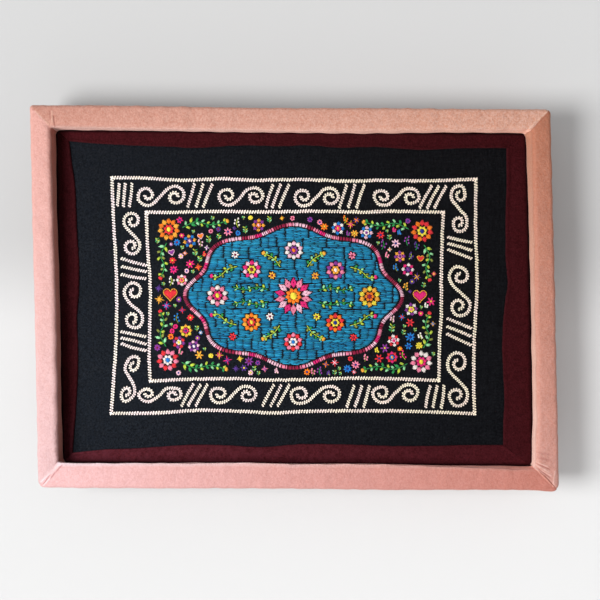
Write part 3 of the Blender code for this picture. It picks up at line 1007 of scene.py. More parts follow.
def new_stitch_tree(name, inputs):
    tree = bpy.data.node_groups.new(name, "GeometryNodeTree")
    tree.interface.new_socket("Paths", in_out="INPUT", socket_type="NodeSocketGeometry")
    for label, (kind, value) in inputs.items():
        socket = tree.interface.new_socket(label, in_out="INPUT", socket_type="NodeSocket" + kind)
        if value is not None:
            socket.default_value = value
    tree.interface.new_socket("Stitches", in_out="OUTPUT", socket_type="NodeSocketGeometry")
    return tree, {output.name: Wire(output) for output in add_node(tree, "NodeGroupInput").outputs}


def end_tree(stitches, yarn):
    """A tree's last nodes: they make copies into faces of their own and give them their finish."""
    real = wire(yarn.tree, "GeometryNodeRealizeInstances", {0: stitches})
    done = wire(yarn.tree, "GeometryNodeSetMaterial", {0: real, "Material": yarn})
    add_node(yarn.tree, "NodeGroupOutput", {0: done})
    return yarn.tree


def random_value(seed, low, high, kind="FLOAT"):
    first, output = {"FLOAT_VECTOR": (0, 0), "FLOAT": (2, 1)}[kind]
    inputs = {"Seed": seed, first: low, first + 1: high}
    return wire(seed.tree, "FunctionNodeRandomValue", inputs, output, data_type=kind)


def path_mesh(name, paths):
    """A mesh of edges from paths. A path is its points, and what they carry: colours or numbers by name."""
    points, edges, carried = [], [], {}
    for path, values in paths:
        edges.extend((len(points) + k, len(points) + k + 1) for k in range(len(path) - 1))
        points.extend(tuple(point) for point in path)
        for key, value in values.items():
            carried.setdefault(key, []).append(np.broadcast_to(value, (len(path), *np.shape(value)[-1:])))
    mesh = bpy.data.meshes.new(name)
    mesh.from_pydata(points, edges, [])
    for key, values in carried.items():
        values = np.concatenate(values)
        kind, field = ("FLOAT_COLOR", "color") if values.ndim == 2 else ("FLOAT", "value")
        mesh.attributes.new(key, kind, "POINT").data.foreach_set(field, values.ravel())
    return mesh


def stitch(name, paths, tree, slot, **values):
    holder = add_mesh_object(name + " paths", path_mesh(name + " paths", paths))
    modifier = holder.modifiers.new("stitches", "NODES")
    modifier.node_group = tree
    sockets = {item.name: item.identifier for item in tree.interface.items_tree if item.in_out == "INPUT"}
    for label, value in values.items():
        modifier[sockets[label]] = value
    depsgraph = bpy.context.evaluated_depsgraph_get()
    made = bpy.data.meshes.new_from_object(
        holder.evaluated_get(depsgraph), preserve_all_data_layers=True, depsgraph=depsgraph
    )
    made.name = name
    bpy.data.objects.remove(holder)
    piece = add_mesh_object(name, made)
    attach(piece, "root")
    embroidery.append(piece)
    print(name, "from", len(paths), "paths:", len(made.polygons), "faces")


print("pieces of embroidery so far:", len(embroidery))

# %% [markdown]
# ## One link of chain stitch
# A chain stitch is a loop of yarn. It comes up inside the round end of the loop before it, spreads, and is
# held down by the next. So a link starts narrow and low and ends wide and high, and the row looks like
# plump Vs. The link is a tube along a closed path of ten points. It has only six sides and sixty faces, as
# it is repeated more than a thousand times.

# %% Link of yarn
CHAIN_PITCH = 0.00272
# Along in pitches; to the side, up and the strand's radius in millimetres; and how open it lies, less open
# being painted darker
LINK = [(-0.74, 0.00, -0.30, 0.32, 0.0), (-0.38, 0.10, -0.05, 0.34, 0.0), (-0.14, 0.70, 0.70, 0.54, 0.4),
        (0.10, 1.27, 1.20, 0.95, 1.0), (0.31, 0.60, 1.00, 0.58, 0.5), (0.47, 0.00, 0.45, 0.40, 0.0)]
# The two strands of a loop don't lie level: one is this much of a pitch ahead, for each millimetre aside
LINK_SLANT = 0.20


def distances(points):
    """How far along a path each of its points is."""
    return np.concatenate([[0], np.cumsum(np.linalg.norm(np.diff(points, axis=0), axis=1))])


def link_mesh(sides=6):
    loop = LINK + [(along, -aside, *rest) for along, aside, *rest in LINK[-2:0:-1]]
    centres = [((along + LINK_SLANT * aside) * CHAIN_PITCH / MM, -up, aside) for along, aside, up, *_ in loop]
    centres = np.array(centres) * MM
    radii = np.array([radius for *_, radius, _ in loop]) * MM
    unshaded_shares = np.array([share for *_, share in loop])
    runs = np.roll(centres, -1, axis=0) - np.roll(centres, 1, axis=0)
    runs /= np.linalg.norm(runs, axis=1)[:, None]
    beside = np.cross(runs, (0, 1, 0))
    beside /= np.linalg.norm(beside, axis=1)[:, None]
    above = np.cross(runs, beside)
    turns = on_circle(np.arange(sides) * 2 * np.pi / sides)
    rings = centres[:, None] + radii[:, None, None] * (
        turns[None, :, :1] * beside[:, None] + turns[None, :, 1:] * above[:, None]
    )
    mesh = bpy.data.meshes.new("link")
    mesh.from_pydata(rings.reshape(-1, 3).tolist(), [], ring_quads(len(loop), sides, closed=True))
    # How far along each point is, and how open it lies, which sets the painted shade where the loop dives
    for name, values in (("along", distances(centres)), ("open", unshaded_shares)):
        mesh.attributes.new(name, "FLOAT", "POINT").data.foreach_set("value", np.repeat(values, sides))
    around = np.concatenate([np.tile(turns, (len(loop), 1)), np.zeros((len(loop) * sides, 1))], axis=1)
    mesh.attributes.new("turn", "FLOAT_VECTOR", "POINT").data.foreach_set("vector", around.ravel())
    return face_outwards(mesh)


link = add_mesh_object("link", link_mesh())
print("faces of one link:", len(link.data.polygons))

# %% [markdown]
# ## The tree for chain stitch
# The paths become curves, and the curves are cut into steps of one pitch. On every point stands a copy of the
# link, its X turned along the path while its Y stays square to the cloth. A hand never pulls two loops alike,
# so every copy is turned and scaled a little at random, from a fixed seed.

# %% Chain stitch tree
# The most that a link is turned about its own three directions, in radians
WOBBLE = (0.10, 0.13, 0.05)


def chain_tree():
    tree, given = new_stitch_tree("chain stitch", {
        "Link": ("Object", None),
        "Pitch": ("Float", CHAIN_PITCH),
        "Size": ("Float", 1.0),
        "Unevenness": ("Float", 0.07),
        "Seed": ("Int", 5),
        "Yarn": ("Material", None),
    })
    curves = wire(tree, "GeometryNodeMeshToCurve", {0: given["Paths"]})
    inputs = {"Curve": curves, "Length": given["Pitch"]}
    steps = wire(tree, "GeometryNodeResampleCurve", inputs, mode="LENGTH")
    tangent = wire(tree, "GeometryNodeInputTangent")
    along = wire(tree, "FunctionNodeAlignRotationToVector", {"Vector": tangent}, axis="X", pivot_axis="Y")
    wobble = random_value(given["Seed"], [-angle for angle in WOBBLE], WOBBLE, "FLOAT_VECTOR")
    wobble = wire(tree, "FunctionNodeEulerToRotation", {0: wobble})
    turned = wire(tree, "FunctionNodeRotateRotation", {0: along, 1: wobble}, rotation_space="LOCAL")
    size, unevenness = given["Size"], given["Unevenness"]
    scale = random_value(given["Seed"], size - unevenness, size + unevenness)
    shape = wire(tree, "GeometryNodeObjectInfo", {"Object": given["Link"]}, "Geometry")
    inputs = {"Points": steps, "Instance": shape, "Rotation": turned, "Scale": scale}
    return end_tree(wire(tree, "GeometryNodeInstanceOnPoints", inputs), given["Yarn"])


chain = chain_tree()
print("inputs:", [item.name for item in chain.interface.items_tree if item.in_out == "INPUT"])

# %% [markdown]
# ## Paths on the cloth
# Every path is first a list of places in millimetres from the middle. `smooth_path` draws a Catmull-Rom
# curve through them, with a point each millimetre or so. `laid` puts it on the cloth and gives it its tone:
# the cream yarn was dyed unevenly, so every few centimetres it drifts between a yellowish and a pinkish
# cream. From left to right it is tinted too, partly as dye and partly as painted light: the right is painted
# warmer and a little brighter, where the lamp's light is weaker.

# %% Paths and tones
YELLOWISH, PINKISH = (0.96, 0.835, 0.680), (0.96, 0.775, 0.725)
# Partly dye and partly painted light: the left is paler, and the right warmer and painted a little brighter,
# where the lamp's light is weaker
LEFT_DYE_AND_PAINTED_LIGHT, RIGHT_DYE_AND_PAINTED_LIGHT = (1.02, 1.06, 1.14), (1.18, 1.06, 0.97)
# The lengths over which the tone drifts, in millimetres
DRIFTS = (190.0, 83.0, 37.0)
TINT_WIDTH = 380
tone_dice = random.Random(17)


def smooth_path(places, step):
    """A curve through some places, with a point about every step."""
    places = [np.array(place, float) for place in places]
    row = [2 * places[0] - places[1]] + places + [2 * places[-1] - places[-2]]
    path = []
    for before, start, end, after in zip(row, row[1:], row[2:], row[3:]):
        count = max(2, int(np.hypot(*(end - start)) / step))
        path += [
            0.5 * (2 * start + (end - before) * t + (2 * before - 5 * start + 4 * end - after) * t**2
                   + (3 * start - before - 3 * end + after) * t**3)
            for t in np.arange(count) / count
        ]
    return path + [places[-1]]


def cloth_front(x, z):
    """The height y of the ground cloth's front at a place in millimetres."""
    return GROUND_FRONT - ground_height((np.asarray(x) + LEAN * np.asarray(z)) * MM, np.asarray(z) * MM)


def laid(places):
    """A chain-stitch path on the cloth, with its drifting tone and its painted light from left to right."""
    x, z = np.array(places).T
    turns = [distances(places) / length + tone_dice.random() for length in DRIFTS]
    share = np.clip(0.5 + 0.45 * sum(np.sin(2 * math.pi * turn) for turn in turns), 0, 1)[:, None]
    rightward = np.clip(x / TINT_WIDTH + 0.5, 0, 1)[:, None]
    # Partly dye and partly painted light, from left to right
    dyes = between((YELLOWISH, PINKISH), share) * between((LEFT_DYE_AND_PAINTED_LIGHT, RIGHT_DYE_AND_PAINTED_LIGHT), rightward)
    dyes = np.concatenate([np.minimum(dyes, 1.0), np.ones_like(share)], axis=1)
    return on_cloth(x, z, cloth_front(x, z)), {"dye": dyes}


print("a curve through three places has", len(smooth_path([(0, 0), (10, 5), (20, 0)], 1.0)), "points")

# %% [markdown]
# ## The two chain-stitch lines
# Two frames of chain stitch run round the picture, and the border lies between them. They were stitched by
# eye, so no side is quite straight. Each side starts at a corner and runs clockwise to the next. Its
# stations say how far it wanders to the right or up, in millimetres, at places from its start (0) to its
# end (1). At a corner the stitcher ended one row and began the next, so every side is a path of its own.

# %% The outer and inner lines
LINES = {
    "chain_outer_line": [
        ((-188.0, 122.0), [(0, 0), (0.08, 0), (0.19, -2.2), (0.31, -0.7), (0.38, -2.0), (0.52, -1.0),
                           (0.65, -2.4), (0.73, -1.4), (0.86, -1.8), (1, 0)]),
        ((185.0, 123.0), [(0, 0), (0.22, 0), (0.43, 1.8), (0.52, 1.3), (0.60, 0), (0.71, -1.0),
                          (0.92, -1.0), (1, 0)]),
        ((185.5, -117.5), [(0, 0.3), (0.14, 2.2), (0.28, 3.1), (0.48, 2.4), (0.55, 0.8), (0.62, 2.0),
                           (0.70, 3.3), (0.76, 3.4), (0.87, 0.7), (1, 0)]),
        ((-187.0, -119.5), [(0, 0), (0.18, 3.0), (0.29, 4.5), (0.48, 5.4), (0.67, 4.0), (0.78, 2.3), (1, 0)]),
    ],
    "chain_inner_line": [
        ((-152.5, 87.0), [(0, 0), (0.08, -0.2), (0.23, 0.8), (0.40, 0.2), (0.57, 1.0), (0.74, 0.1),
                          (0.82, 1.0), (1, 0)]),
        ((152.0, 89.0), [(0, 0), (0.17, -0.6), (0.40, -0.3), (0.64, 0.5), (0.76, -0.4), (1, 0)]),
        ((148.5, -83.5), [(0, 0), (0.08, 1.0), (0.26, 2.6), (0.43, 1.5), (0.60, 0.8), (0.69, 2.2),
                          (0.86, 1.8), (1, 0)]),
        ((-147.0, -86.0), [(0, 0), (0.12, -0.7), (0.36, 1.0), (0.60, 2.2), (0.72, 0.9), (0.83, 0.3), (1, 0)]),
    ],
}
# The hand's small waves, in millimetres
LINE_WAVE, LINE_WAVELENGTH = 0.22, 17.0
SCROLL_WAVE, SCROLL_WAVELENGTH = 0.4, 16.0


def line_side(name, start, end, wander):
    """Places along one side: straight from corner to corner, but for its wander and a hand's small waves."""
    start, end = np.array(start), np.array(end)
    length = np.hypot(*(end - start))
    t = np.linspace(0, 1, int(length))
    level = abs(end - start)[0] > abs(end - start)[1]
    small = LINE_WAVE * uneven(t * length, t * 0, name, LINE_WAVELENGTH) * np.sin(np.pi * t)
    offset = smooth_along(wander, t) + small
    return start + (end - start) * t[:, None] + offset[:, None] * np.array((0, 1) if level else (1, 0))


for name, sides in LINES.items():
    rows = [
        laid(line_side(f"{name} {number}", corner, sides[(number + 1) % 4][0], wander))
        for number, (corner, wander) in enumerate(sides)
    ]
    stitch(name, rows, chain, "cream_yarn", Link=link, Size=0.94, Yarn=cream_yarn)

# %% [markdown]
# ## The scroll border
# Between the lines runs a traditional border: a double scroll like a lying S, then three slanted strokes,
# and again. A scroll is a chain of arcs. From its inner end, every quarter turn is wider than the last, up
# to the nearly straight stretch in its middle, and there the same arcs follow in reverse and turn the other
# way. It is then stretched to the space that each scroll has. On the two upright sides the pattern is
# turned a quarter.

# %% Scrolls
BORDER_PITCH = CHAIN_PITCH * 0.88
Arc = namedtuple("Arc", "turn radius")
CURL = [Arc(80, 3.0), Arc(90, 3.8), Arc(90, 5.2), Arc(90, 6.7), Arc(90, 7.8), Arc(55, 8.8), Arc(6, 75.0)]
CURL_HEADING = 270
# About how large a scroll is, in millimetres
SCROLL_SIZE = (47, 19)
# Where each scroll starts and ends along its side, its lowest and highest place across the side, and how
# far its end has slipped across from its start
Scroll = namedtuple("Scroll", "side start end low high slip", defaults=[0])
SCROLLS = [
    Scroll("top", -161, -114, 94, 113.5), Scroll("top", -78, -33, 95, 113),
    Scroll("top", 0, 44, 94.5, 113), Scroll("top", 81, 127, 95.5, 113),
    Scroll("right", 116, 69, 160, 176.5), Scroll("right", 33, -17, 158.5, 179.5),
    Scroll("right", -55, -109.5, 157, 178),
    Scroll("bottom", -158.5, -115.5, -107, -92.5), Scroll("bottom", -85, -39, -108, -90.5),
    Scroll("bottom", -3, 47, -108, -90), Scroll("bottom", 81, 127, -106.5, -88),
    Scroll("left", 86, 44, -175.5, -158.5), Scroll("left", 14, -32, -174.5, -155.5),
    Scroll("left", -61, -107, -175.5, -160.5, -10),
]


def arc_chain(arcs, heading, step=0.6):
    """Places along arcs that follow each other without a corner, the headings and turns in degrees."""
    places = [np.zeros(2)]
    for turn, radius in arcs:
        length = abs(math.radians(turn)) * radius
        count = max(2, round(length / step))
        for _ in range(count):
            heading += turn / count / 2
            course = math.radians(heading)
            places.append(places[-1] + length / count * np.array([math.cos(course), math.sin(course)]))
            heading += turn / count / 2
    return np.array(places)


def scroll_path(number, scroll):
    places = arc_chain(CURL + [Arc(-turn, radius) for turn, radius in reversed(CURL)], CURL_HEADING)
    x, y = ((places - places.min(axis=0)) / np.ptp(places, axis=0)).T
    along = scroll.start + (scroll.end - scroll.start) * x
    across = scroll.low + (scroll.high - scroll.low) * y + scroll.slip * (x - 0.5)
    x, y = x * SCROLL_SIZE[0], y * SCROLL_SIZE[1]
    along = along + SCROLL_WAVE * uneven(x, y, f"along {number}", SCROLL_WAVELENGTH)
    across = across + SCROLL_WAVE * uneven(x, y, f"across {number}", SCROLL_WAVELENGTH)
    return laid(np.stack([along, across] if scroll.side in ("top", "bottom") else [across, along], axis=1))


scrolls = [scroll_path(number, scroll) for number, scroll in enumerate(SCROLLS)]
stitch(
    "chain_scrolls", scrolls, chain, "cream_yarn",
    Link=link, Pitch=BORDER_PITCH, Size=0.88, Seed=8, Yarn=cream_yarn,
)

# %% [markdown]
# ## The slanted strokes
# Between two scrolls lie three strokes, and three more stand nearly upright in the first corner. Each group
# is written with the place of its middle stroke's foot along the side, how far apart the feet are, how far
# the strokes lean, and how much more each leans than the one before. They bend a little, as hand work does.

# %% Strokes
Strokes = namedtuple("Strokes", "side place apart lean fan")
STROKES = [
    Strokes("top", -176, 6.6, 2, 0), Strokes("top", -102, 8, 7.4, 1.2), Strokes("top", -23, 7, 7.8, 1.2),
    Strokes("top", 54.5, 9, 6.8, 0.2), Strokes("top", 135, 7.5, 11.8, 0),
    Strokes("right", 57, -6.5, -7, -1.5), Strokes("right", -28, -7.7, -10, -1),
    Strokes("bottom", -108, 7.3, 12, -0.3), Strokes("bottom", -24, 7.7, 11, 0.4),
    Strokes("bottom", 63, 8.5, 6.5, -1), Strokes("bottom", 143, 8.3, 4, -1.2),
    Strokes("left", 31, -8, -5.3, 0.8), Strokes("left", -42, -6.5, -6, -0.5),
]
# Where the strokes' feet and heads lie across each side
STROKE_ENDS = {
    "top": (93.3, 115.5), "right": (156.8, 180.6), "bottom": (-111, -89.7), "left": (-177.3, -152.9),
}
hand = random.Random(23)


def stroke_path(side, foot, lean):
    low, high = STROKE_ENDS[side]
    places = [(foot, low), (foot + lean / 2, (low + high) / 2), (foot + lean, high)]
    places = [(along + hand.uniform(-0.5, 0.5), across + hand.uniform(-0.5, 0.5)) for along, across in places]
    return laid(smooth_path(places if side in ("top", "bottom") else [place[::-1] for place in places], 0.7))


strokes = [
    stroke_path(group.side, group.place + number * group.apart, group.lean + number * group.fan)
    for group in STROKES
    for number in (-1, 0, 1)
]
stitch(
    "chain_strokes", strokes, chain, "cream_yarn",
    Link=link, Pitch=BORDER_PITCH, Size=0.84, Seed=11, Yarn=cream_yarn,
)
bpy.data.objects.remove(link)

# %% [markdown]
# ## The tree for straight stitches
# Satin stitch, back stitch and the little rays of a daisy are all straight stitches: the yarn comes up,
# crosses the cloth and goes down again. So a path here is one edge. The tree makes it a curve of a few
# points, lifts its middle off the cloth, lets it waver a little, and draws a round section along it that
# thins at both ends, where the yarn dives. `lift` and `thickness` are carried by the path, because each
# stitch has its own.

# %% Straight stitch tree
def stored(geometry, name, value, kind="FLOAT"):
    """The geometry, its points now carrying a value under a name."""
    inputs = {"Geometry": geometry, "Name": name, "Value": value}
    return wire(geometry.tree, "GeometryNodeStoreNamedAttribute", inputs, data_type=kind, domain="POINT")


def carried(tree, name):
    return wire(tree, "GeometryNodeInputNamedAttribute", {"Name": name}, data_type="FLOAT")


def straight_tree():
    tree, given = new_stitch_tree("straight stitch", {
        "Radius": ("Float", 0.00056),
        "Steps": ("Int", 6),
        "Waver": ("Float", 0.00016),
        "Yarn": ("Material", None),
    })
    curves = wire(tree, "GeometryNodeMeshToCurve", {0: given["Paths"]})
    inputs = {"Curve": curves, "Count": given["Steps"]}
    curves = wire(tree, "GeometryNodeResampleCurve", inputs, mode="COUNT")
    where = add_node(tree, "GeometryNodeSplineParameter").outputs
    off_middle = (Wire(where["Factor"]) * 2.0 - 1.0).math("ABSOLUTE")
    arch = 1.0 - off_middle**3.0
    up = wire(tree, "ShaderNodeCombineXYZ", {1: carried(tree, "lift") * arch * -1.0})
    place = wire(tree, "GeometryNodeInputPosition")
    drift = wire(tree, "ShaderNodeTexNoise", {"Vector": place, "Scale": 330.0, "Detail": 1.0}, "Color")
    drift = vector_math("SUBTRACT", drift, (0.5, 0.5, 0.5))
    drift = wire(tree, "ShaderNodeVectorMath", {0: drift, "Scale": given["Waver"] * 4.0}, operation="SCALE")
    curves = wire(tree, "GeometryNodeSetPosition", {0: curves, "Offset": vector_math("ADD", up, drift)})
    curves = stored(curves, "along", Wire(where["Length"]))
    # Painted shade: the yarn is painted darker near its ends, where it dives into the cloth
    curves = stored(curves, "open", 1.0 - off_middle**7.0 * 0.7)
    circle = wire(tree, "GeometryNodeCurvePrimitiveCircle", {"Resolution": 6, "Radius": 1.0})
    circle = stored(circle, "turn", place, "FLOAT_VECTOR")
    radius = carried(tree, "thickness") * (1.0 - off_middle**4.0 * 0.38) * given["Radius"]
    inputs = {"Curve": curves, "Profile Curve": circle, "Scale": radius, "Fill Caps": True}
    threads = wire(tree, "GeometryNodeCurveToMesh", inputs)
    threads = wire(tree, "GeometryNodeSetShadeSmooth", {0: threads, "Shade Smooth": True})
    return end_tree(threads, given["Yarn"])


straight = straight_tree()
coloured_yarn = yarn_finish("coloured yarn", shade=0.74, fuzz=0.2)
print("inputs:", [item.name for item in straight.interface.items_tree if item.in_out == "INPUT"])

# %% [markdown]
# ## The dyes
# Bright wool on black cloth. The dyes are written as their colour on a screen and turned into the amounts of
# light that the finish needs. A skein is never dyed evenly, so `sew` gives every stitch a slightly different
# strength of its dye, and a slightly different thickness too.

# %% Dyes and stitches
# Light sinks into yarn, too: less of it comes back than from a flat dyed surface
YARN_DEPTH = 0.85


def dye(red, green, blue):
    return tuple(YARN_DEPTH * (value / 255) ** 2.2 for value in (red, green, blue))


DYES = {
    "hot pink": dye(232, 40, 120), "pink": dye(244, 135, 165), "pale pink": dye(248, 196, 214),
    "orange": dye(250, 128, 30), "amber": dye(246, 172, 60), "yellow": dye(242, 222, 70),
    "lime": dye(190, 212, 70), "olive": dye(140, 148, 66), "green": dye(44, 150, 78),
    "mint": dye(150, 222, 160), "red": dye(232, 52, 60), "maroon": dye(150, 28, 66),
    "purple": dye(140, 58, 150), "violet": dye(84, 52, 132), "blue": dye(34, 124, 205),
    "navy": dye(34, 50, 140), "white": dye(246, 236, 230),
}
TEALS = [dye(26, 138, 184), dye(18, 122, 168), dye(38, 154, 196), dye(26, 130, 164)]
Stitch = namedtuple("Stitch", "start end dye thickness lift")
needle = random.Random(41)


def sew(pairs, colour, thickness=1.0, lift=0.95, spread=0.09):
    """Stitches of one dye from pairs of places in millimetres."""
    made = []
    for start, end in pairs:
        strength = needle.uniform(1 - spread, 1 + spread)
        tone = tuple(min(value * strength, 0.97) for value in DYES.get(colour, colour))
        thick = thickness * needle.uniform(0.92, 1.08)
        made.append(Stitch(np.array(start), np.array(end), tone, thick, lift))
    return made


def turned_by(angle):
    """The matrix that turns rows of places by some degrees."""
    c, s = math.cos(math.radians(angle)), math.sin(math.radians(angle))
    return np.array([[c, s], [-s, c]])


def moved(stitches, x, z, turn=0.0):
    """The stitches of a motif, turned by some degrees and put at a place."""
    turn = turned_by(turn)
    return [one._replace(start=one.start @ turn + (x, z), end=one.end @ turn + (x, z)) for one in stitches]


def embroider(name, stitches, slot="coloured_yarn", **values):
    """A piece of the embroidery from straight stitches."""
    paths = []
    for one in stitches:
        x, z = np.array([one.start, one.end]).T
        carried = {"dye": (*one.dye, 1.0), "thickness": one.thickness, "lift": one.lift * MM}
        paths.append((on_cloth(x, z, cloth_front(x, z) + 0.0002), carried))
    stitch(name, paths, straight, slot, Yarn=coloured_yarn, **values)


print(len(DYES), "dyes and", len(TEALS), "teals")

# %% [markdown]
# ## Ways to stitch a shape
# `hatch` fills an outline with stitches side by side, which is satin stitch: it cuts lines across the shape,
# keeps what is inside, and splits what would be too long for one stitch. `back_stitch` follows a line. The
# outlines are lists of places round the middle of their motif, in millimetres.

# %% Fills, lines and outlines
def hatch(outline, angle, pitch=1.02, jitter=0.22, longest=9.0):
    turn = math.radians(angle)
    ahead = np.array([math.cos(turn), math.sin(turn)])
    side = np.array([-ahead[1], ahead[0]])
    corners = np.array(outline)
    along, across = corners @ ahead, corners @ side
    count = max(1, round((across.max() - across.min()) / pitch))
    width = (across.max() - across.min()) / count
    pairs = []
    for row in across.min() + width * (np.arange(count) + 0.5):
        crossings = sorted(
            a + (row - c) / (next_c - c) * (next_a - a)
            for a, c, next_a, next_c in zip(along, across, np.roll(along, -1), np.roll(across, -1))
            if (c > row) != (next_c > row)
        )
        for start, end in zip(crossings[::2], crossings[1::2]):
            if end - start < 0.7:
                continue
            start += needle.uniform(-jitter, jitter)
            end += needle.uniform(-jitter, jitter)
            stops = np.linspace(start, end, math.ceil((end - start) / longest) + 1)
            pairs += [(a * ahead + row * side, b * ahead + row * side) for a, b in zip(stops, stops[1:])]
    return pairs


def back_stitch(places, length):
    path = np.array(places, float)
    steps = distances(path)
    stops = np.linspace(0, steps[-1], max(1, round(steps[-1] / length)) + 1)
    points = np.stack([np.interp(stops, steps, path[:, 0]), np.interp(stops, steps, path[:, 1])], axis=1)
    return list(zip(points, points[1:]))


def drop(near, far, width, angle=0.0, points=14):
    """A petal or a leaf, pointed at both ends, from near to far in front of the middle."""
    t = np.linspace(0, 1, points)
    half = width / 2 * np.sin(math.pi * t**0.85)
    reach = near + (far - near) * t
    side = np.stack([np.concatenate([reach, reach[::-1]]), np.concatenate([half, -half[::-1]])], axis=1)
    return side @ turned_by(angle)


def disc(radius, points=16):
    return radius * on_circle(np.arange(points) * 2 * math.pi / points)


def heart_outline(size):
    angles = np.linspace(0, 2 * math.pi, 28, endpoint=False)
    x = 16 * np.sin(angles) ** 3
    z = 13 * np.cos(angles) - 5 * np.cos(2 * angles) - 2 * np.cos(3 * angles) - np.cos(4 * angles)
    return size / 16 * np.stack([x, z + 2], axis=1)


print("a petal of 5 by 9 mm takes", len(hatch(drop(0, 9, 5), 0)), "stitches")

# %% [markdown]
# ## Motifs
# The picture is made of a few motifs that folk embroidery everywhere uses: rosettes, daisies, hearts, stars,
# leafy branches and sprays of berries. Each function returns the stitches of one motif about its own middle.
# Petals are filled along their length, so their stitches run outwards like the rays of a real flower.

# %% Motif functions
# For a ring of petals, as shares of the flower's radius: from where to where the petals reach, and the circle
# on which they would touch
OUTER_RING, INNER_RING = (0.44, 1.0, 0.62), (0.16, 0.46, 0.26)


def petal_ring(radius, count, ring, shift, dyes, pitch):
    near, far, touching = ring
    width = 2 * math.pi * radius * touching / count
    stitches = []
    for number in range(count):
        angle = 360 / count * (number + shift) + 90
        shape = drop(radius * near, radius * far, width, angle)
        stitches += sew(hatch(shape, angle, pitch), dyes[number % len(dyes)])
    return stitches


def rosette(radius, petals, outer, inner, heart):
    """A flower of two rings of petals; outer is the list of dyes that its outer petals take in turn."""
    stitches = petal_ring(radius, petals, OUTER_RING, 0, outer, 1.02)
    stitches += petal_ring(radius, max(5, petals * 2 // 3), INNER_RING, 0.5, [inner], 0.9)
    return stitches + sew(hatch(disc(max(1.4, radius * 0.19)), 20, 0.9), heart, lift=1.2)


def daisy(radius, rays, colour, heart):
    stitches = []
    for number in range(rays):
        angle = 2 * math.pi * (number + needle.uniform(-0.12, 0.12)) / rays
        way = np.array([math.cos(angle), math.sin(angle)])
        beside = np.array([-way[1], way[0]]) * 0.42
        long = radius * needle.uniform(0.9, 1.08)
        stitches += sew([(way * 1.1 + o * beside, way * long + o * beside * 0.3) for o in (-1, 1)], colour)
    return stitches + sew([((-0.7, 0.35), (0.7, 0.35)), ((-0.7, -0.35), (0.7, -0.35))], heart, lift=1.15)


def heart_motif(size, colour, edge):
    outline = heart_outline(size)
    rim = np.concatenate([outline, outline[:1]]) * 1.16
    return sew(hatch(outline, 90, 1.0), colour) + sew(back_stitch(rim, 2.6), edge, 0.75, 0.75)


def star(radius, colour, second):
    stitches = []
    for number in range(4):
        angle = math.pi * number / 4
        way = np.array([math.cos(angle), math.sin(angle)]) * radius * (1 if number % 2 == 0 else 0.72)
        stitches += sew([(-way, way)], colour if number % 2 == 0 else second, lift=0.9 + 0.12 * number)
    return stitches


def branch(places, pairs, leaf, stem, leaf_dyes, bud=None):
    """A stem with leaves in pairs, and a bud at its tip."""
    path = np.array(smooth_path(places, 0.8))
    stitches = sew(back_stitch(path, 3.6), stem, 0.85)
    for number in range(pairs):
        spot = int((number + 0.6) / (pairs + 0.3) * (len(path) - 1))
        ahead = path[min(spot + 1, len(path) - 1)] - path[max(spot - 1, 0)]
        heading = math.degrees(math.atan2(ahead[1], ahead[0]))
        size = leaf * (1 - 0.3 * number / pairs) * needle.uniform(0.9, 1.1)
        for side in (-1, 1):
            angle = heading + side * needle.uniform(42, 54)
            fill = hatch(drop(0.6, size, size * 0.36, angle), angle, 0.95)
            stitches += moved(sew(fill, leaf_dyes[(number + side) % len(leaf_dyes)]), *path[spot])
    if bud:
        stitches += moved(sew(hatch(disc(1.9), heading, 0.95), bud, lift=1.2), *path[-1])
    return stitches


def berries(size, colour, stem):
    """A bent stalk with round berries to both sides of it."""
    bend = needle.choice([-1, 1]) * size * 0.25
    path = np.array(smooth_path([(-bend, -size), (bend, 0), (-bend * 0.4, size * 0.85)], 0.5))
    stitches = sew(back_stitch(path, 2.6), stem, 0.7)
    for number in range(5):
        spot = path[int((0.25 + 0.75 * number / 4) * (len(path) - 1))]
        spot = spot + (((-1) ** number) * size * (0.42 if number < 4 else 0.0), size * 0.1)
        stitches += sew([(spot + (-0.5, o), spot + (0.5, o)) for o in (-0.42, 0.42)], colour, 1.1, 1.2)
    return stitches


print("a rosette of 10 petals takes", len(rosette(10, 10, ["pink"], "yellow", "red")), "stitches")

# %% [markdown]
# ## What is already stitched
# Stitchers leave a narrow gap of black cloth between one motif and the next, and it is what makes the colours
# glow. `taken` is a grid over the picture that says where there is yarn already, with a margin, so that
# what comes later stays clear of it.

# %% The grid of what is taken
FIELD_LOW, FIELD_HIGH = np.array([-145.0, -80.0]), np.array([145.5, 84.5])
CELL = 0.5
taken = np.zeros(np.ceil((FIELD_HIGH - FIELD_LOW) / CELL).astype(int) + 1, bool)


def cells(places):
    spots = np.round((np.asarray(places) - FIELD_LOW) / CELL).astype(int)
    return np.clip(spots, 0, np.array(taken.shape) - 1)


def mark(stitches, margin):
    counts = [2 + int(np.hypot(*(one.end - one.start)) / CELL) for one in stitches]
    spots = np.concatenate([np.linspace(one.start, one.end, n) for one, n in zip(stitches, counts)])
    for dx in np.arange(-margin, margin + 0.01, CELL):
        for dz in np.arange(-margin, margin + 0.01, CELL):
            if math.hypot(dx, dz) <= margin:
                x, z = cells(spots + (dx, dz)).T
                taken[x, z] = True


def is_free(places):
    x, z = cells(places).T
    return ~taken[x, z]


# The medallion in the middle: a wide oval whose edge swings in and out eight times
MEDALLION_MIDDLE = np.array([-1.0, 2.0])
MEDALLION_HALF = np.array([104.0, 68.0])
LOBES, SWING = 8, 0.055


def medallion_depth(places):
    """Below 1 inside the medallion, and above 1 outside it."""
    x, z = ((np.asarray(places) - MEDALLION_MIDDLE) / MEDALLION_HALF).T
    return np.hypot(x, z) / (1 + SWING * np.cos(LOBES * np.arctan2(z, x)))


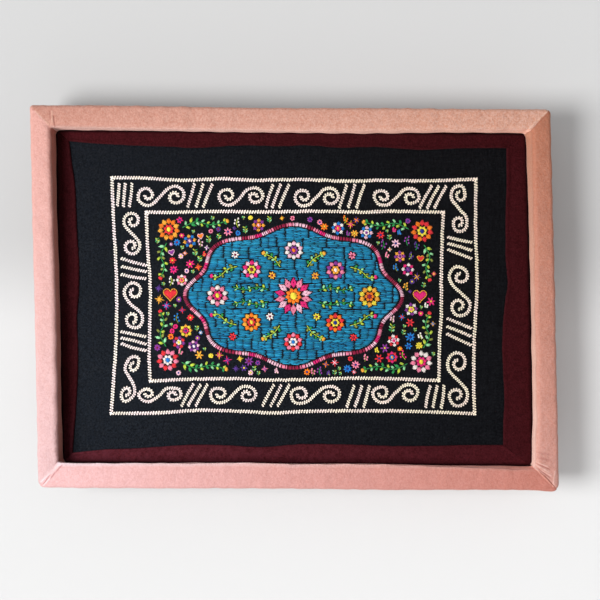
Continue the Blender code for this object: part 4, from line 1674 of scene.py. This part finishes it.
def medallion_edge(grow, points=720):
    """Places along the medallion's edge, moved outwards by some millimetres."""
    angles = np.arange(points) * 2 * math.pi / points
    reach = 1 + SWING * np.cos(LOBES * angles)
    edge = on_circle(angles) * reach[:, None] * MEDALLION_HALF
    ways = np.roll(edge, -1, axis=0) - np.roll(edge, 1, axis=0)
    outward = np.stack([ways[:, 1], -ways[:, 0]], axis=1) / np.hypot(*ways.T)[:, None]
    return edge + MEDALLION_MIDDLE + outward * grow


print("grid of", taken.shape, "cells")

# %% [markdown]
# ## The flowers of the medallion
# A large rosette stands in the middle, with eight smaller ones round it, and leafy branches between them.
# The design is the same to the left and the right of its middle, except for its dyes, because the stitcher
# took whatever skein came next.

# %% Flowers of the medallion
PALETTES = [
    (["hot pink", "pale pink"], "yellow", "maroon"), (["orange", "amber"], "red", "yellow"),
    (["white", "pink"], "hot pink", "yellow"), (["purple", "pink"], "amber", "white"),
    (["red", "orange"], "yellow", "navy"), (["yellow", "amber"], "orange", "maroon"),
    (["pale pink", "white"], "purple", "orange"), (["pink", "red"], "white", "blue"),
]
flowers = moved(rosette(19.5, 14, ["hot pink", "pink", "pale pink"], "orange", "yellow"), *MEDALLION_MIDDLE)
ring = [(side * x, z) for side in (-1, 1) for x, z in ((43, 27), (43, -27), (78, 0))] + [(0, 47), (0, -47)]
for number, (x, z) in enumerate(ring):
    outer, inner, heart = PALETTES[number % len(PALETTES)]
    radius = 11.5 if abs(x) > 70 else 10.0
    flowers += moved(rosette(radius, 10, outer, inner, heart), *(MEDALLION_MIDDLE + (x, z)))
GREENS = ["lime", "green", "mint", "olive"]
STEMS = [
    ([(14, 30), (20, 38), (31, 44)], 4, 5.5, "lime", GREENS, "amber"),
    ([(26, 6), (37, 9), (50, 6), (62, 9)], 5, 5.2, "green", GREENS[::-1], None),
    ([(58, 30), (68, 27), (77, 19), (84, 20)], 4, 5.5, "lime", GREENS, "hot pink"),
]
for side in (-1, 1):
    for updown in (-1, 1):
        for places, *rest in STEMS:
            stem = [(side * x, updown * z) for x, z in places]
            flowers += moved(branch(stem, *rest), *MEDALLION_MIDDLE)
mark(flowers, 0.9)
small = []
for x, z in ((22, 21), (60, 42), (62, -42), (24, -21), (90, 20), (90, -20), (92, 4)):
    for side in (-1, 1):
        spot = np.array([side * x, z]) + MEDALLION_MIDDLE
        if is_free(spot + disc(3.6)).all() and (medallion_depth(spot + disc(4.5)) < 0.98).all():
            colour = needle.choice(["white", "amber", "red", "pink", "yellow", "orange"])
            small += moved(daisy(3.8, 7, colour, "maroon"), *spot, needle.uniform(0, 50))
mark(small, 0.9)
flowers += small
print("medallion flowers:", len(flowers), "stitches")

# %% [markdown]
# ## The bars round the medallion
# The edge is a row of bars, each of a few stitches laid across the edge. The bars change dye in short runs.

# %% Bars
BAR_COUNT, BAR_STITCHES = 84, 5
BAR_DYES = ["pale pink", "pink", "maroon", "maroon", "pink",
            "pale pink", "hot pink", "pink", "maroon", "pale pink"]
inside_edge, edge, outside_edge = (medallion_edge(grow) for grow in (0.0, 1.8, 3.7))
steps = distances(np.concatenate([edge, edge[:1]]))
bar_length = steps[-1] / BAR_COUNT
bars = []
for number in range(BAR_COUNT):
    colour = BAR_DYES[number % len(BAR_DYES)]
    for part in range(BAR_STITCHES):
        spot = (number + 0.10 + part / BAR_STITCHES) * bar_length
        index = int(np.searchsorted(steps, spot)) % len(edge)
        bars += sew([(inside_edge[index], outside_edge[index])], colour, lift=1.05)
mark(bars, 0.6)
print(BAR_COUNT, "bars of", round(bar_length, 2), "mm")

# %% [markdown]
# ## The teal rows
# The medallion's ground is filled with level rows of teal yarn. It was stitched in blocks of a few rows, so
# dark seams stand between the blocks like the joints of a wall. The rows swing a little and part round
# the flowers. Each row is followed in small steps, and what is free of it becomes stitches.

# %% Teal rows
ROW_PITCH, ROW_STEP = 1.36, 0.4
weave = random.Random(7)


def teal_rows():
    rows = []
    reach, rise = MEDALLION_HALF * 1.06
    x = np.arange(-reach, reach, ROW_STEP) + MEDALLION_MIDDLE[0]
    z = MEDALLION_MIDDLE[1] - rise
    while z < MEDALLION_MIDDLE[1] + rise:
        count = weave.randint(4, 9)
        seams, spot = [], -reach - weave.uniform(0, 20)
        while spot < reach + 40:
            seams.append(spot)
            spot += weave.uniform(16, 34)
        bow, phase = weave.uniform(0.25, 0.8), weave.uniform(0, 6)
        for _ in range(count):
            path = np.stack([x, z + bow * np.sin(x / 9.5 + phase) + 0.25 * np.sin(x / 3.1 + z)], axis=1)
            free = is_free(path) & (medallion_depth(path) < 0.985)
            for seam in seams:
                free &= np.abs(x - MEDALLION_MIDDLE[0] - seam - weave.uniform(-0.5, 0.5)) > 0.45
            changes = np.flatnonzero(np.diff(np.concatenate([[0], free.astype(int), [0]])))
            for start, end in zip(changes[::2], changes[1::2]):
                length = (end - start) * ROW_STEP
                if length < 1.6:
                    continue
                pieces = max(1, round(length / weave.uniform(7.5, 10.0)))
                stops = np.linspace(start, end - 1, pieces + 1).astype(int)
                tone = weave.choice(TEALS)
                rows += sew([(path[a], path[b]) for a, b in zip(stops, stops[1:])], tone, 1.04, 0.9, 0.16)
            z += ROW_PITCH * weave.uniform(0.94, 1.06)
        z += weave.uniform(0.0, 0.35)
    return rows


teal = teal_rows()
embroider("teal_rows", teal, "teal_yarn", Steps=7)
mark(teal, 1.2)
embroider("medallion_bars", bars)
embroider("medallion_flowers", flowers)

# %% [markdown]
# ## The corners and the sown ground
# A rosette stands in each corner of the picture, with a branch along each side. Between all this the black
# ground is sown with small motifs, the larger ones first: a spot is tried at random, and the motif is
# stitched if nothing is in its way. That fills the ground evenly, and no two places look alike.

# %% Corners
corners = []
for number, (sx, sz) in enumerate(((-1, 1), (1, 1), (-1, -1), (1, -1))):
    middle_x, middle_z = 0.5 + sx * 130, 2.5 + sz * 67
    outer, inner, heart = PALETTES[(number * 3 + 1) % len(PALETTES)]
    corners += moved(rosette(12.0, 11, outer, inner, heart), middle_x, middle_z)
    along_side = [(middle_x - sx * x, middle_z + sz * z) for x, z in ((14, 2), (28, 8), (44, 5), (60, 9))]
    corners += branch(along_side, 8, 6.6, "green", ["green", "mint", "lime"], "amber")
    down_side = [(middle_x + sx * x, middle_z - sz * z) for x, z in ((2, 14), (8, 26), (4, 38), (8, 50))]
    corners += branch(down_side, 6, 6.6, "green", ["olive", "lime", "mint"], "red")
for side in (-1, 1):
    corners += moved(heart_motif(6.2, "red" if side < 0 else "hot pink", "amber"), 0.5 + side * 128, 2.5)
mark(corners, 0.9)
embroider("corner_flowers", corners)

# %% [markdown]
# The sizes go down from one sowing to the next, as the free places get smaller. A motif is tried inside the
# field only, and its spot must be free right across.

# %% Sown motifs
BRIGHT = ["hot pink", "pink", "orange", "amber", "yellow", "red",
          "white", "purple", "blue", "pale pink", "violet"]


def sown_motif(size):
    kind = needle.random()
    if size > 5:
        colours = needle.sample(BRIGHT, 4)
        return rosette(size, 8, colours[:2], colours[2], colours[3])
    if kind < 0.40:
        rays, colour = needle.choice([6, 7, 8]), needle.choice(BRIGHT)
        return daisy(size, rays, colour, needle.choice(["yellow", "maroon", "navy"]))
    if kind < 0.62:
        return berries(size, needle.choice(BRIGHT), needle.choice(["lime", "olive", "green"]))
    if kind < 0.76:
        return star(size, needle.choice(BRIGHT), needle.choice(BRIGHT))
    if kind < 0.86 and size > 3.4:
        colour = needle.choice(["red", "hot pink", "orange", "purple"])
        return heart_motif(size * 0.8, colour, needle.choice(["amber", "pale pink"]))
    leafy = [(0, -size), (needle.uniform(-0.8, 0.8), 0), (0, size * 0.7)]
    return branch(leafy, 2 + (size > 3.5), size * 0.85, "olive", ["lime", "green", "mint"])


def sow(size_low, size_high, tries):
    made = []
    for _ in range(tries):
        size = needle.uniform(size_low, size_high)
        spot = [needle.uniform(low + size, high - size) for low, high in zip(FIELD_LOW, FIELD_HIGH)]
        around_spot = np.concatenate([spot + disc(size), spot + disc(size * 0.55, 9), [spot]])
        if is_free(around_spot).all() and (medallion_depth(spot + disc(size)) > 1.03).all():
            motif = moved(sown_motif(size), *spot, needle.uniform(-14, 14))
            mark(motif, 0.9)
            made += motif
    return made


sown = sow(6.0, 7.2, 160) + sow(4.2, 5.0, 500) + sow(3.2, 4.0, 1800) + sow(2.2, 2.9, 2600)
embroider("sown_motifs", sown)
embroidery_faces = sum(len(piece.data.polygons) for piece in embroidery)
print("embroidery:", len(embroidery), "pieces,", embroidery_faces, "faces")


# %% [markdown]
# The boxes of the CAD model and of everything built here go into a small file, to compare their sizes.

# %% Declare and finish
for side, (strip, area) in strips.items():
    length = 2 * CLOTH_HALF[0 if side in ("top", "bottom") else 1]
